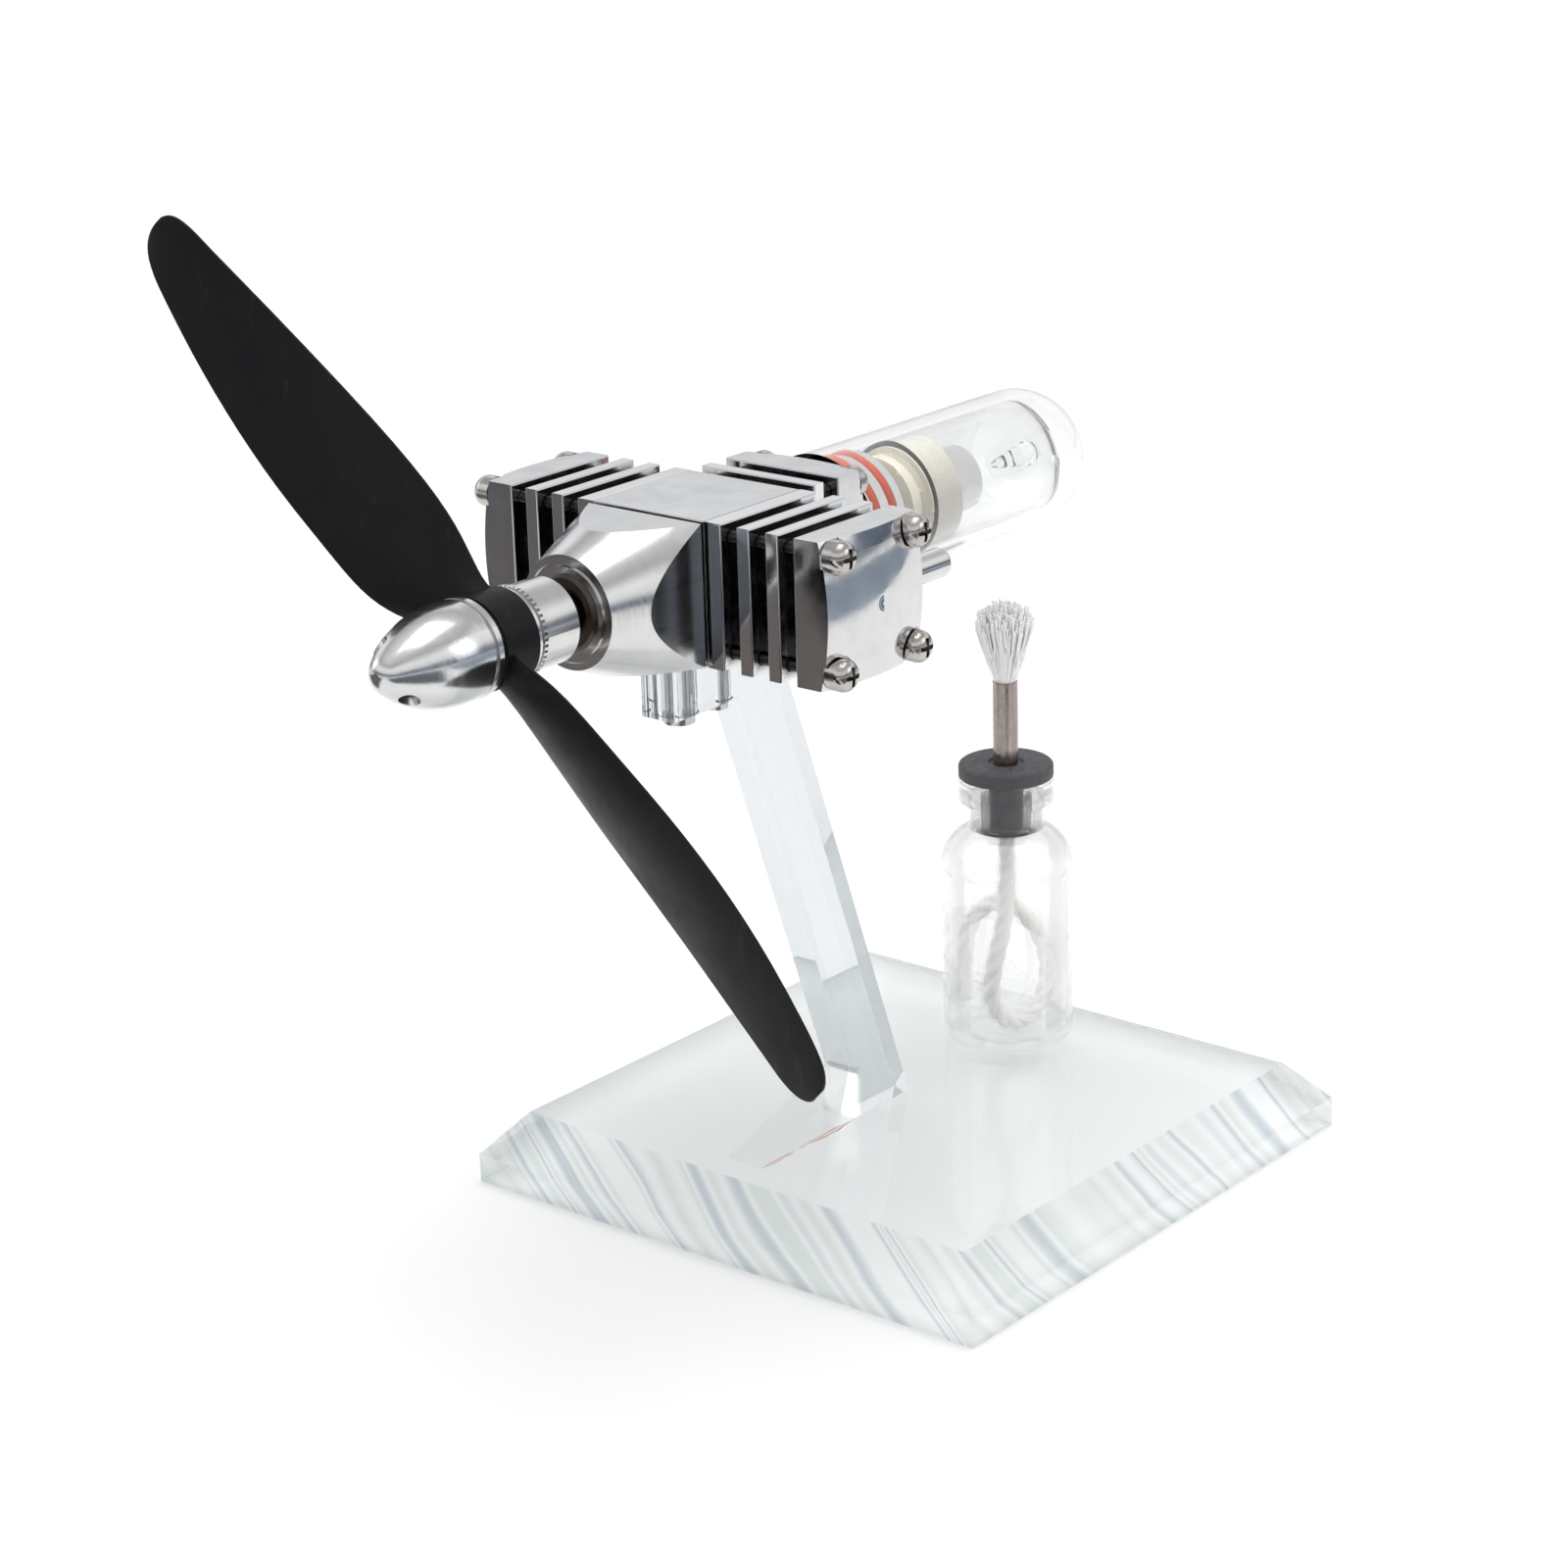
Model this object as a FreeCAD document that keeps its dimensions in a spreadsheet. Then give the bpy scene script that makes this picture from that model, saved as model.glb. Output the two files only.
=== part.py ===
import FreeCAD, Part
import math
import os
import Sketcher

# A desk-top hot-air engine in the shape of a small aircraft engine.
# Millimetres.  +Z is up, the propeller faces -Y, and the origin is the middle of the
# underside of the glass base.

doc = FreeCAD.newDocument("HotAirEngine")
sheet = doc.addObject("Spreadsheet::Sheet", "Sizes")


class Size:
    """A length that carries its number and the sheet expression it comes from."""

    def __init__(self, number, text):
        self.number = number
        self.text = text

    def __add__(self, other):
        other = as_size(other)
        return Size(self.number + other.number, f"({self.text} + {other.text})")

    def __sub__(self, other):
        other = as_size(other)
        return Size(self.number - other.number, f"({self.text} - {other.text})")

    def __mul__(self, factor):
        return Size(self.number * factor, f"({self.text} * {factor})")

    def __truediv__(self, divisor):
        return Size(self.number / divisor, f"({self.text} / {divisor})")

    def __neg__(self):
        return self * -1


def as_size(value):
    if isinstance(value, Size):
        return value
    return Size(float(value), f"{value}")


SIZES = {
    # base and stand
    "base_side": 80.0,
    "base_height": 9.4,
    "base_edge_height": 3.9,
    "base_bevel": 4.8,
    "engine_offset": -2.0,
    "stand_thickness": 5.0,
    "stand_lean_deg": 19.7,
    "stand_leg_depth": 8.7,
    "stand_foot_front": -9.5,
    "stand_head_height": 8.0,
    "stand_foot_tip": -31.3,
    "stand_foot_rise": 6.25,
    "stand_foot_blunt": 0.5,
    "stand_front_relief": 0.4,
    "glue_gap": 0.05,
    "stand_screw_front": -4.6,
    "stand_screw_rear": 2.2,
    "stand_screw_radius": 0.95,
    "stand_screw_bite": 1.9,
    "stand_screw_head": 1.2,
    # engine body
    "shaft_height": 88.2,
    "arm_centre": -35.8,
    "section_half": 8.75,
    "cube_half": 8.4,
    "flange_thickness": 2.6,
    "groove_width": 2.3,
    "fin_thickness": 1.9,
    "core_radius": 6.0,
    "arm_reach": 21.6,
    "cover_corner_height": 3.6,
    "cover_crown_radius": 32.5,
    "cylinder_bore": 4.45,
    "screw_spacing_half": 6.9,
    "screw_radius": 0.8,
    "screw_head_radius": 1.95,
    "screw_head_height": 2.8,
    "screw_spot_radius": 2.2,
    "screw_seat": 0.5,
    "cover_screw_grip": 17.8,
    "holder_screw_grip": 12.4,
    "holder_screw_head": 1.9,
    "cross_slot_half": 0.27,
    "tapped_depth": 2.0,
    "rear_tapped_depth": 1.4,
    "wall_cut": 3.0,
    "screw_clearance": 0.1,
    "edge_break": 0.2,
    # nose and shaft
    "nose_gap": 0.6,
    "nose_length": 13.75,
    "nose_half": 8.6,
    "nose_front_radius": 6.8,
    "nose_neck_radius": 7.4,
    "spigot_radius": 3.9,
    "spigot_length": 2.3,
    "spigot_clearance": 0.05,
    "bush_radius": 4.6,
    "bush_length": 4.0,
    "rear_bush_radius": 2.4,
    "shaft_clearance": 0.03,
    "shaft_radius": 1.5,
    "crank_throw": 3.0,
    "crank_pin_radius": 0.75,
    # propeller
    "propeller_radius": 63.5,
    "propeller_plane": -74.0,
    "blade_angle_deg": 42.6,
    "hub_radius": 5.6,
    "hub_thickness": 5.2,
    "spinner_radius": 5.8,
    "spinner_length": 14.3,
    "washer_radius": 5.1,
    # hot end
    "tube_radius": 9.0,
    "tube_wall": 1.0,
    "tube_start": -13.6,
    "tube_dome_centre": 27.1,
    "rear_bore": 4.6,
    "holder_thicker": 0.3,
    "holder_spigot_length": 7.6,
    "rod_bore": 1.3,
    "rod_radius": 0.9,
    "gland_radius": 5.6,
    "gland_depth": 2.4,
    "seal_radius": 0.7,
    "seal_ring_radius": 7.22,
    "seal_groove_width": 1.5,
    "seal_groove_radius": 6.5,
    "capsule_radius": 7.4,
    "capsule_wall": 0.65,
    # lamp
    "lamp_across": 0.0,
    "lamp_back": 22.0,
    "bottle_radius": 8.7,
    "bottle_height": 37.0,
    "bottle_wall": 0.9,
    "neck_radius": 4.8,
    "lip_radius": 6.3,
    "wick_radius": 1.2,
    "wick_tube_radius": 1.65,
}


def fill_sheet():
    for row, (alias, number) in enumerate(SIZES.items(), start=1):
        sheet.set(f"A{row}", alias)
        sheet.set(f"B{row}", str(number))
        sheet.setAlias(f"B{row}", alias)
    doc.recompute()


def size(alias):
    return Size(SIZES[alias], f"Sizes.{alias}")


def bind(target, path, value):
    target.setExpression(path, as_size(value).text)


# ---------------------------------------------------------------- bodies and sketches

TURNS = {
    "up": FreeCAD.Rotation(),
    "front": FreeCAD.Rotation(FreeCAD.Vector(1, 0, 0), 90),
    "rear": FreeCAD.Rotation(FreeCAD.Vector(1, 0, 0), -90),
    "right": FreeCAD.Rotation(FreeCAD.Vector(0, 1, 0), 90),
    "left": FreeCAD.Rotation(FreeCAD.Vector(0, 1, 0), -90),
}
TINY = 1e-3
nodes = []


def place(thing, facing, across, along, height):
    """Stand a sub-part with its own Z axis facing the named way, at a point of the engine."""
    turn = TURNS[facing] if isinstance(facing, str) else facing
    spot = FreeCAD.Vector(as_size(across).number, as_size(along).number, as_size(height).number)
    thing.Placement = FreeCAD.Placement(spot, turn)
    bind(thing, "Placement.Base.x", across)
    bind(thing, "Placement.Base.y", along)
    bind(thing, "Placement.Base.z", height)


def on_engine(thing, facing, along, across=0.0, height=0.0):
    """Place a sub-part by its distance from the engine's shaft axis and its Y position."""
    place(thing, facing, size("engine_offset") + across, along, size("shaft_height") + height)


def new_body(label):
    body = doc.addObject("PartDesign::Body", label)
    body.Label = label
    body.AllowCompound = True
    nodes.append(body)
    return body


def origin_feature(body, role):
    return [feature for feature in body.Origin.OriginFeatures if feature.Role == role][0]


def new_sketch(body, plane="XY_Plane", offset=None):
    sketch = body.newObject("Sketcher::SketchObject", f"{body.Label}_sketch")
    sketch.AttachmentSupport = [(origin_feature(body, plane), "")]
    sketch.MapMode = "FlatFace"
    if offset is not None:
        offset = as_size(offset)
        sketch.AttachmentOffset = FreeCAD.Placement(FreeCAD.Vector(0, 0, offset.number),
                                                    FreeCAD.Rotation())
        bind(sketch, "AttachmentOffset.Base.z", offset)
    return sketch


def constrain(sketch, value, *constraint):
    index = sketch.addConstraint(Sketcher.Constraint(*constraint, value.number))
    bind(sketch, f"Constraints[{index}]", value)


def pin_point(sketch, geometry, point, across, up):
    """Tie one point of a sketch to a distance across and a distance up from its origin."""
    if across.number == 0:
        sketch.addConstraint(Sketcher.Constraint("PointOnObject", geometry, point, -2))
    else:
        constrain(sketch, across, "DistanceX", -1, 1, geometry, point)
    if up.number == 0:
        sketch.addConstraint(Sketcher.Constraint("PointOnObject", geometry, point, -1))
    else:
        constrain(sketch, up, "DistanceY", -1, 1, geometry, point)


def add_circle(sketch, radius, across=0.0, up=0.0):
    radius, across, up = as_size(radius), as_size(across), as_size(up)
    centre = FreeCAD.Vector(across.number, up.number, 0)
    circle = sketch.addGeometry(Part.Circle(centre, FreeCAD.Vector(0, 0, 1), radius.number))
    pin_point(sketch, circle, 3, across, up)
    constrain(sketch, radius, "Radius", circle)


def arc_between(start, end, radius, bulge):
    """The arc from start to end that bulges to the left (+1) or the right (-1) of the way."""
    chord = end - start
    middle = (start + end) * 0.5
    left = FreeCAD.Vector(-chord.y, chord.x, 0).normalize()
    reach = math.sqrt(max(radius ** 2 - (chord.Length / 2) ** 2, 0.0))
    centre = middle - left * (bulge * reach)
    first, last = (end, start) if bulge > 0 else (start, end)
    angles = [math.atan2(point.y - centre.y, point.x - centre.x) for point in (first, last)]
    circle = Part.Circle(centre, FreeCAD.Vector(0, 0, 1), radius)
    return Part.ArcOfCircle(circle, angles[0], angles[1]), bulge > 0


def add_outline(sketch, steps):
    """A closed outline.  Each step is (across, up), or (across, up, radius, bulge) where an arc
    of that radius leads to the point, bulging left (+1) or right (-1) of the way there."""
    corners = [(as_size(step[0]), as_size(step[1])) for step in steps]
    spots = [FreeCAD.Vector(across.number, up.number, 0) for across, up in corners]
    edges = []
    for index, step in enumerate(steps):
        start, end = spots[index - 1], spots[index]
        if len(step) == 2:
            edges.append((sketch.addGeometry(Part.LineSegment(start, end)), 1, 2))
            continue
        arc, reversed_arc = arc_between(start, end, as_size(step[2]).number, step[3])
        geometry = sketch.addGeometry(arc)
        edges.append((geometry, 2, 1) if reversed_arc else (geometry, 1, 2))
    for index, (geometry, first, last) in enumerate(edges):
        following, following_first, _ = edges[(index + 1) % len(edges)]
        sketch.addConstraint(Sketcher.Constraint("Coincident", geometry, last,
                                                 following, following_first))
        pin_point(sketch, geometry, last, *corners[index])
        if len(steps[index]) == 4:
            constrain(sketch, as_size(steps[index][2]), "Radius", geometry)


def add_rectangle(sketch, half_width, half_height, across=0.0, up=0.0):
    half_width, half_height = as_size(half_width), as_size(half_height)
    across, up = as_size(across), as_size(up)
    add_outline(sketch, [(across - half_width, up - half_height), (across + half_width, up - half_height),
                         (across + half_width, up + half_height), (across - half_width, up + half_height)])


def pad(body, sketch, length, midplane=False):
    feature = body.newObject("PartDesign::Pad", f"{body.Label}_pad")
    feature.Profile = sketch
    if midplane:
        feature.Midplane = True
    bind(feature, "Length", length)
    doc.recompute()
    return feature


def pocket(body, sketch, depth=None, outward=False):
    """Cut a sketch through the whole body both ways, or to a depth along its own normal."""
    feature = body.newObject("PartDesign::Pocket", f"{body.Label}_pocket")
    feature.Profile = sketch
    if depth is None:
        feature.Type = "ThroughAll"
        feature.Midplane = True
    else:
        feature.Reversed = outward
        bind(feature, "Length", depth)
    before = body.Shape.Volume
    doc.recompute()
    if body.Shape.Volume > before - 1e-4:
        raise RuntimeError(f"{body.Label}: a pocket cut nothing")
    return feature


def revolve(body, sketch, kind="Revolution"):
    feature = body.newObject(f"PartDesign::{kind}", f"{body.Label}_{kind.lower()}")
    feature.Profile = sketch
    feature.ReferenceAxis = (sketch, ["V_Axis"])
    feature.Angle = 360
    doc.recompute()
    return feature


def turned(label, *outlines):
    """A body turned about its own Z axis; each step of an outline is (radius, height)."""
    body = new_body(label)
    for steps in outlines:
        sketch = new_sketch(body, "XZ_Plane")
        add_outline(sketch, steps)
        revolve(body, sketch)
    return body


def ring(inner, outer, start, end):
    """The outline of a plain ring or, with no inner radius, a plain disc."""
    return [(inner, start), (outer, start), (outer, end), (inner, end)]


def groove(body, steps):
    sketch = new_sketch(body, "XZ_Plane")
    add_outline(sketch, steps)
    before = body.Shape.Volume
    feature = revolve(body, sketch, "Groove")
    if body.Shape.Volume > before - 1e-4:
        raise RuntimeError(f"{body.Label}: a groove cut nothing")
    return feature


def square_pad(body, half, start, length):
    sketch = new_sketch(body, "XY_Plane", start)
    add_rectangle(sketch, half, half)
    return pad(body, sketch, length)


def corner_holes(body, radius, start=None, depth=None, outward=False):
    spacing = size("screw_spacing_half")
    sketch = new_sketch(body, "XY_Plane", start)
    for across in (-1, 1):
        for up in (-1, 1):
            add_circle(sketch, radius, spacing * across, spacing * up)
    return pocket(body, sketch, depth, outward)


def centre_hole(body, radius, start=None, depth=None, outward=False):
    sketch = new_sketch(body, "XY_Plane", start)
    add_circle(sketch, radius)
    return pocket(body, sketch, depth, outward)


def break_edges(body, wanted, radius):
    """Round every straight edge of the body that the test picks out."""
    base = body.Tip
    names = [f"Edge{number}" for number, edge in enumerate(base.Shape.Edges, start=1)
             if wanted(edge.BoundBox)]
    feature = body.newObject("PartDesign::Fillet", f"{body.Label}_edges")
    feature.Base = (base, names)
    bind(feature, "Radius", radius)
    doc.recompute()
    return feature


def on_square(half):
    """A test for edges that lie along the sides of a square section."""

    def wanted(box):
        reach = half.number - TINY
        flat_in_z = box.ZLength < TINY
        along_x = flat_in_z and box.YLength < TINY and abs(box.YMin) > reach
        along_y = flat_in_z and box.XLength < TINY and abs(box.XMin) > reach
        return along_x or along_y

    return wanted


# ---------------------------------------------------------------- base and stand

def make_base():
    body = new_body("glass_base")
    side, edge = size("base_side"), size("base_edge_height")
    sketch = new_sketch(body)
    add_rectangle(sketch, side / 2, side / 2)
    pad(body, sketch, edge)
    lower = new_sketch(body, "XY_Plane", edge)
    add_rectangle(lower, side / 2, side / 2)
    upper = new_sketch(body, "XY_Plane", size("base_height"))
    add_rectangle(upper, side / 2 - size("base_bevel"), side / 2 - size("base_bevel"))
    loft = body.newObject("PartDesign::AdditiveLoft", "glass_base_bevel")
    loft.Profile = lower
    loft.Sections = [upper]
    loft.Ruled = True
    place(body, "up", 0.0, 0.0, 0.0)


def crankcase_bottom():
    return size("shaft_height") - size("section_half")


def make_stand():
    """A leaning leg with a flat head and a wedge-shaped foot, all cut from one clear sheet."""
    body = new_body("acrylic_stand")
    top, floor = crankcase_bottom(), size("base_height") + size("glue_gap")
    lean = math.tan(math.radians(SIZES["stand_lean_deg"]))
    head_floor = top - size("stand_head_height")
    foot_front = size("stand_foot_front")
    foot_rear = foot_front + size("stand_leg_depth")
    front = size("arm_centre") - size("section_half") + size("stand_front_relief")
    rise = size("stand_foot_rise")
    sketch = new_sketch(body, "YZ_Plane")
    add_outline(sketch, [(size("stand_foot_tip"), floor), (foot_rear, floor),
                         (foot_rear - (top - floor) * lean, top), (front, top),
                         (front, head_floor), (foot_front - (head_floor - floor) * lean, head_floor),
                         (foot_front - rise * lean, floor + rise),
                         (size("stand_foot_tip"), floor + size("stand_foot_blunt"))])
    pad(body, sketch, size("stand_thickness"), midplane=True)
    place(body, "up", size("engine_offset"), 0.0, 0.0)
    for along, radius in stand_screw_places():
        hole = new_sketch(body, "XY_Plane")
        add_circle(hole, radius, 0.0, along)
        pocket(body, hole)


def stand_screw_places():
    """Y position and sheet-hole radius of the front and the rear screw."""
    centre = size("arm_centre")
    return [(centre + size("stand_screw_front"), as_size(1.7)),
            (centre + size("stand_screw_rear"), as_size(1.1))]


STAND_SCREW_HEADS = [1.9, 1.4]


def make_stand_screws():
    body = new_body("stand_screws")
    length, head = size("stand_head_height") + size("stand_screw_bite"), size("stand_screw_head")
    for (along, _), head_radius in zip(stand_screw_places(), STAND_SCREW_HEADS):
        sketch = new_sketch(body, "XY_Plane", -head)
        add_circle(sketch, head_radius, 0.0, along)
        pad(body, sketch, head)
        shank = new_sketch(body, "XY_Plane")
        add_circle(shank, size("stand_screw_radius"), 0.0, along)
        pad(body, shank, length)
    place(body, "up", size("engine_offset"), 0.0, crankcase_bottom() - size("stand_head_height"))


# ---------------------------------------------------------------- crankcase and arms

CAVITY_HALF_HEIGHT = 6.2
CAVITY_FRONT = -6.4
CAVITY_REAR = 7.2
LEVER_PIVOT_ALONG = 5.7
LEVER_PIVOT_HEIGHT = -4.4


def make_crankcase():
    """The middle block, open right through from side to side behind the cylinder flanges."""
    body = new_body("crankcase")
    half, cube = size("section_half"), size("cube_half")
    sketch = new_sketch(body)
    add_rectangle(sketch, cube, half)
    pad(body, sketch, half * 2, midplane=True)
    cavity = new_sketch(body, "YZ_Plane")
    add_rectangle(cavity, (CAVITY_REAR - CAVITY_FRONT) / 2, CAVITY_HALF_HEIGHT,
                  (CAVITY_REAR + CAVITY_FRONT) / 2)
    pocket(body, cavity)
    spigot_hole = new_sketch(body, "XZ_Plane", half)
    add_circle(spigot_hole, size("spigot_radius") + size("spigot_clearance"))
    pocket(body, spigot_hole, size("wall_cut"))
    rear_hole = new_sketch(body, "XZ_Plane", -half)
    add_circle(rear_hole, size("rear_bore"))
    pocket(body, rear_hole, size("wall_cut"), outward=True)
    spacing = size("screw_spacing_half")
    for side in (-1, 1):
        holes = new_sketch(body, "YZ_Plane", cube * side)
        for across in (-1, 1):
            for up in (-1, 1):
                add_circle(holes, size("screw_radius"), spacing * across, spacing * up)
        pocket(body, holes, size("tapped_depth"), outward=side < 0)
    rear_holes = new_sketch(body, "XZ_Plane", -half)
    for across in (-1, 1):
        for up in (-1, 1):
            add_circle(rear_holes, size("screw_radius"), spacing * across, spacing * up)
    pocket(body, rear_holes, size("rear_tapped_depth"), outward=True)
    screw_holes = new_sketch(body, "XY_Plane", -half)
    for along, _ in stand_screw_places():
        add_circle(screw_holes, size("stand_screw_radius"), 0.0, along - size("arm_centre"))
    pocket(body, screw_holes, size("tapped_depth"), outward=True)
    break_edges(body, lambda box: box.YLength < TINY and box.XLength > 1.5 * cube.number
                and abs(box.YMin) > half.number - TINY, size("edge_break"))
    on_engine(body, "up", size("arm_centre"))


def make_nose():
    """A square block turned to a cone in front, on a short round neck."""
    body = new_body("nose_housing")
    half, length = size("nose_half"), size("nose_length")
    front, back = size("nose_front_radius"), size("nose_half") * math.sqrt(2)
    square_pad(body, half, 0.0, length)
    groove(body, [(back, 0.0), (back + 2, 0.0), (back + 2, length), (front, length)])
    neck = new_sketch(body, "XY_Plane", -size("nose_gap"))
    add_circle(neck, size("nose_neck_radius"))
    pad(body, neck, size("nose_gap"))
    spigot = new_sketch(body, "XY_Plane", -size("nose_gap") - size("spigot_length"))
    add_circle(spigot, size("spigot_radius"))
    pad(body, spigot, size("spigot_length"))
    centre_hole(body, size("rear_bush_radius"))
    centre_hole(body, size("bush_radius"), length, size("bush_length"))
    groove(body, ring(5.4, 6.0, length - 0.25, length))
    on_engine(body, "front", nose_back())


def nose_back():
    return size("arm_centre") - size("section_half") - size("nose_gap")


def make_nose_bushes():
    shaft, outer = size("shaft_radius") + size("shaft_clearance"), size("bush_radius")
    length = size("bush_length")
    front = turned("front_bush", [
        (shaft, 0.0), (outer, 0.0), (outer, length + 0.1), (outer - 0.4, length + 0.5),
        (3.4, length + 0.5), (3.2, length + 0.1), (shaft, length + 0.1)])
    on_engine(front, "front", nose_back() - size("nose_length") + length)
    rear = turned("rear_bush", ring(shaft, size("rear_bush_radius"), 0.0, length))
    on_engine(rear, "front", nose_back() + size("nose_gap") + size("spigot_length"))


def fin_pitch():
    return size("groove_width") + size("fin_thickness")


def make_cylinder(side):
    """One finned barrel: a flange on the crankcase, two loose fins, and a round core."""
    body = new_body(f"cylinder_{side}")
    half, flange = size("section_half"), size("flange_thickness")
    length = size("arm_reach") - size("cube_half")
    square_pad(body, half, 0.0, flange)
    core = new_sketch(body)
    add_circle(core, size("core_radius"))
    pad(body, core, length)
    for fin in range(2):
        square_pad(body, half, flange + size("groove_width") + fin_pitch() * fin,
                   size("fin_thickness"))
    centre_hole(body, size("cylinder_bore"))
    corner_holes(body, size("screw_radius") + size("screw_clearance"))
    lever_hole = new_sketch(body)
    turn = 1 if side == "right" else -1
    add_circle(lever_hole, 0.8, -turn * LEVER_PIVOT_HEIGHT, LEVER_PIVOT_ALONG)
    pocket(body, lever_hole, as_size(1.5), outward=True)
    break_edges(body, on_square(half), size("edge_break"))
    if side == "right":
        on_engine(body, "right", size("arm_centre"), size("cube_half"))
    else:
        on_engine(body, "left", size("arm_centre"), -size("cube_half"))


def crown_rise():
    """How far the middle of a crowned plate stands above its corners."""
    crown, corner = SIZES["cover_crown_radius"], SIZES["section_half"] * math.sqrt(2)
    return crown - math.sqrt(crown ** 2 - corner ** 2)


def crowned_plate(body, corner_height):
    """A square plate whose outer face is part of a large ball, with four screw spots."""
    half, crown = size("section_half"), size("cover_crown_radius")
    corner = half * math.sqrt(2)
    top = corner_height + crown_rise()
    square_pad(body, half, 0.0, top + 0.5)
    groove(body, [(0.0, top + 0.5), (0.0, top), (corner, corner_height, crown, 1),
                  (corner, top + 0.5)])
    corner_holes(body, size("screw_radius") + size("screw_clearance"))
    corner_holes(body, size("screw_spot_radius"), corner_height + size("screw_seat"), as_size(6.0),
                 outward=True)
    return top


def make_cover(side):
    body = new_body(f"cover_{side}")
    crowned_plate(body, size("cover_corner_height"))
    centre_hole(body, size("cylinder_bore") + 0.3, 0.0, as_size(0.8), outward=True)
    if side == "right":
        port = new_sketch(body, "XZ_Plane", -size("section_half"))
        add_circle(port, 1.3, -0.6, 2.0)
        pocket(body, port, as_size(3.0), outward=True)
    break_edges(body, on_square(size("section_half")), size("edge_break"))
    if side == "right":
        on_engine(body, "right", size("arm_centre"), size("arm_reach"))
    else:
        on_engine(body, "left", size("arm_centre"), -size("arm_reach"))


def make_corner_screws(label, grip, height, facing, along, across=0.0):
    """Four cross-head screws.  The body's origin is where their heads sit."""
    body = new_body(label)
    spacing, head = size("screw_spacing_half"), size("screw_head_radius")
    shank = new_sketch(body, "XY_Plane", -grip)
    add_circle(shank, size("screw_radius"), spacing, spacing)
    shank_pad = pad(body, shank, grip)
    blank = new_sketch(body)
    add_circle(blank, head, spacing, spacing)
    blank_pad = pad(body, blank, height)
    edges = [f"Edge{number}" for number, edge in enumerate(body.Shape.Edges, start=1)
             if edge.BoundBox.ZMin > height.number - TINY]
    dome = body.newObject("PartDesign::Fillet", f"{label}_dome")
    dome.Base = (blank_pad, edges)
    bind(dome, "Radius", height * 0.5)
    doc.recompute()
    recess = new_sketch(body, "XY_Plane", height)
    arm, slot = head * 0.6, size("cross_slot_half")
    add_outline(recess, [(spacing + across_cross, spacing + up_cross) for across_cross, up_cross in (
        (slot, slot), (slot, arm), (-slot, arm), (-slot, slot), (-arm, slot), (-arm, -slot),
        (-slot, -slot), (-slot, -arm), (slot, -arm), (slot, -slot), (arm, -slot), (arm, slot))])
    recess_cut = pocket(body, recess, height * 0.4)
    pattern = body.newObject("PartDesign::PolarPattern", f"{label}_pattern")
    pattern.Originals = [shank_pad, blank_pad, dome, recess_cut]
    pattern.Axis = (origin_feature(body, "Z_Axis"), [""])
    pattern.Angle = 360
    pattern.Occurrences = 4
    body.Tip = pattern
    doc.recompute()
    on_engine(body, facing, along, across)


def make_port_plug():
    """The short plug that closes the gas passage in the right-hand cover."""
    body = turned("gas_port_plug", ring(0.0, 1.25, 0.0, 3.0),
                  [(0.0, 3.0), (1.8, 3.0), (1.8, 9.8), (1.2, 10.4, 0.7, -1), (0.0, 10.4)])
    on_engine(body, "rear", size("arm_centre") + size("section_half") - 3.0,
              size("arm_reach") + 2.0, 0.6)


# ---------------------------------------------------------------- rear arm and hot end

def make_rear_barrel():
    body = new_body("rear_barrel")
    half, length = size("section_half"), rear_barrel_length()
    core = new_sketch(body)
    add_circle(core, size("core_radius"))
    pad(body, core, length)
    square_pad(body, half, size("groove_width"), size("fin_thickness"))
    centre_hole(body, size("rear_bore"))
    corner_holes(body, size("screw_radius") + size("screw_clearance"))
    break_edges(body, on_square(half), size("edge_break"))
    on_engine(body, "rear", crankcase_rear())


def crankcase_rear():
    return size("arm_centre") + size("section_half")


def rear_barrel_length():
    return size("groove_width") * 2 + size("fin_thickness") + size("holder_thicker")


def holder_start():
    return crankcase_rear() + rear_barrel_length()


def make_tube_holder():
    """The crowned rear plate with the spigot that the hot tube pushes onto."""
    body = new_body("tube_holder")
    top = crowned_plate(body, size("cover_corner_height") + size("holder_thicker"))
    end = top + size("holder_spigot_length")
    spigot = new_sketch(body)
    add_circle(spigot, size("tube_radius") - size("tube_wall") - 0.4)
    pad(body, spigot, end)
    for start in ring_grooves():
        wall = start - holder_start()
        groove(body, ring(size("seal_groove_radius"), size("tube_radius") + 0.5, wall,
                          wall + size("seal_groove_width")))
    centre_hole(body, size("rear_bore"), 0.0, top, outward=True)
    centre_hole(body, size("rod_bore"))
    centre_hole(body, size("gland_radius"), end, size("gland_depth"))
    break_edges(body, on_square(size("section_half")), size("edge_break"))
    on_engine(body, "rear", holder_start())


def ring_grooves():
    """Y position of the front wall of each seal groove."""
    return [size("tube_start") + 1.4, size("tube_start") + 4.5]


def make_tube_seals():
    body = new_body("tube_seals")
    for start in ring_grooves():
        sketch = new_sketch(body, "XZ_Plane")
        add_circle(sketch, size("seal_radius"), size("seal_ring_radius"),
                   start - size("tube_start") + size("seal_groove_width") / 2)
        revolve(body, sketch)
    on_engine(body, "rear", size("tube_start"))


def make_hot_tube():
    outer = size("tube_radius")
    inner = outer - size("tube_wall")
    straight = size("tube_dome_centre") - size("tube_start")
    body = turned("hot_tube", [(inner, 0.0), (outer, 0.0), (outer, straight),
                               (0.0, straight + outer, outer, -1), (0.0, straight + inner),
                               (inner, straight, inner, 1)])
    on_engine(body, "rear", size("tube_start"))


def spigot_end():
    plate = size("cover_corner_height") + size("holder_thicker") + crown_rise()
    return holder_start() + plate + size("holder_spigot_length")


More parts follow.
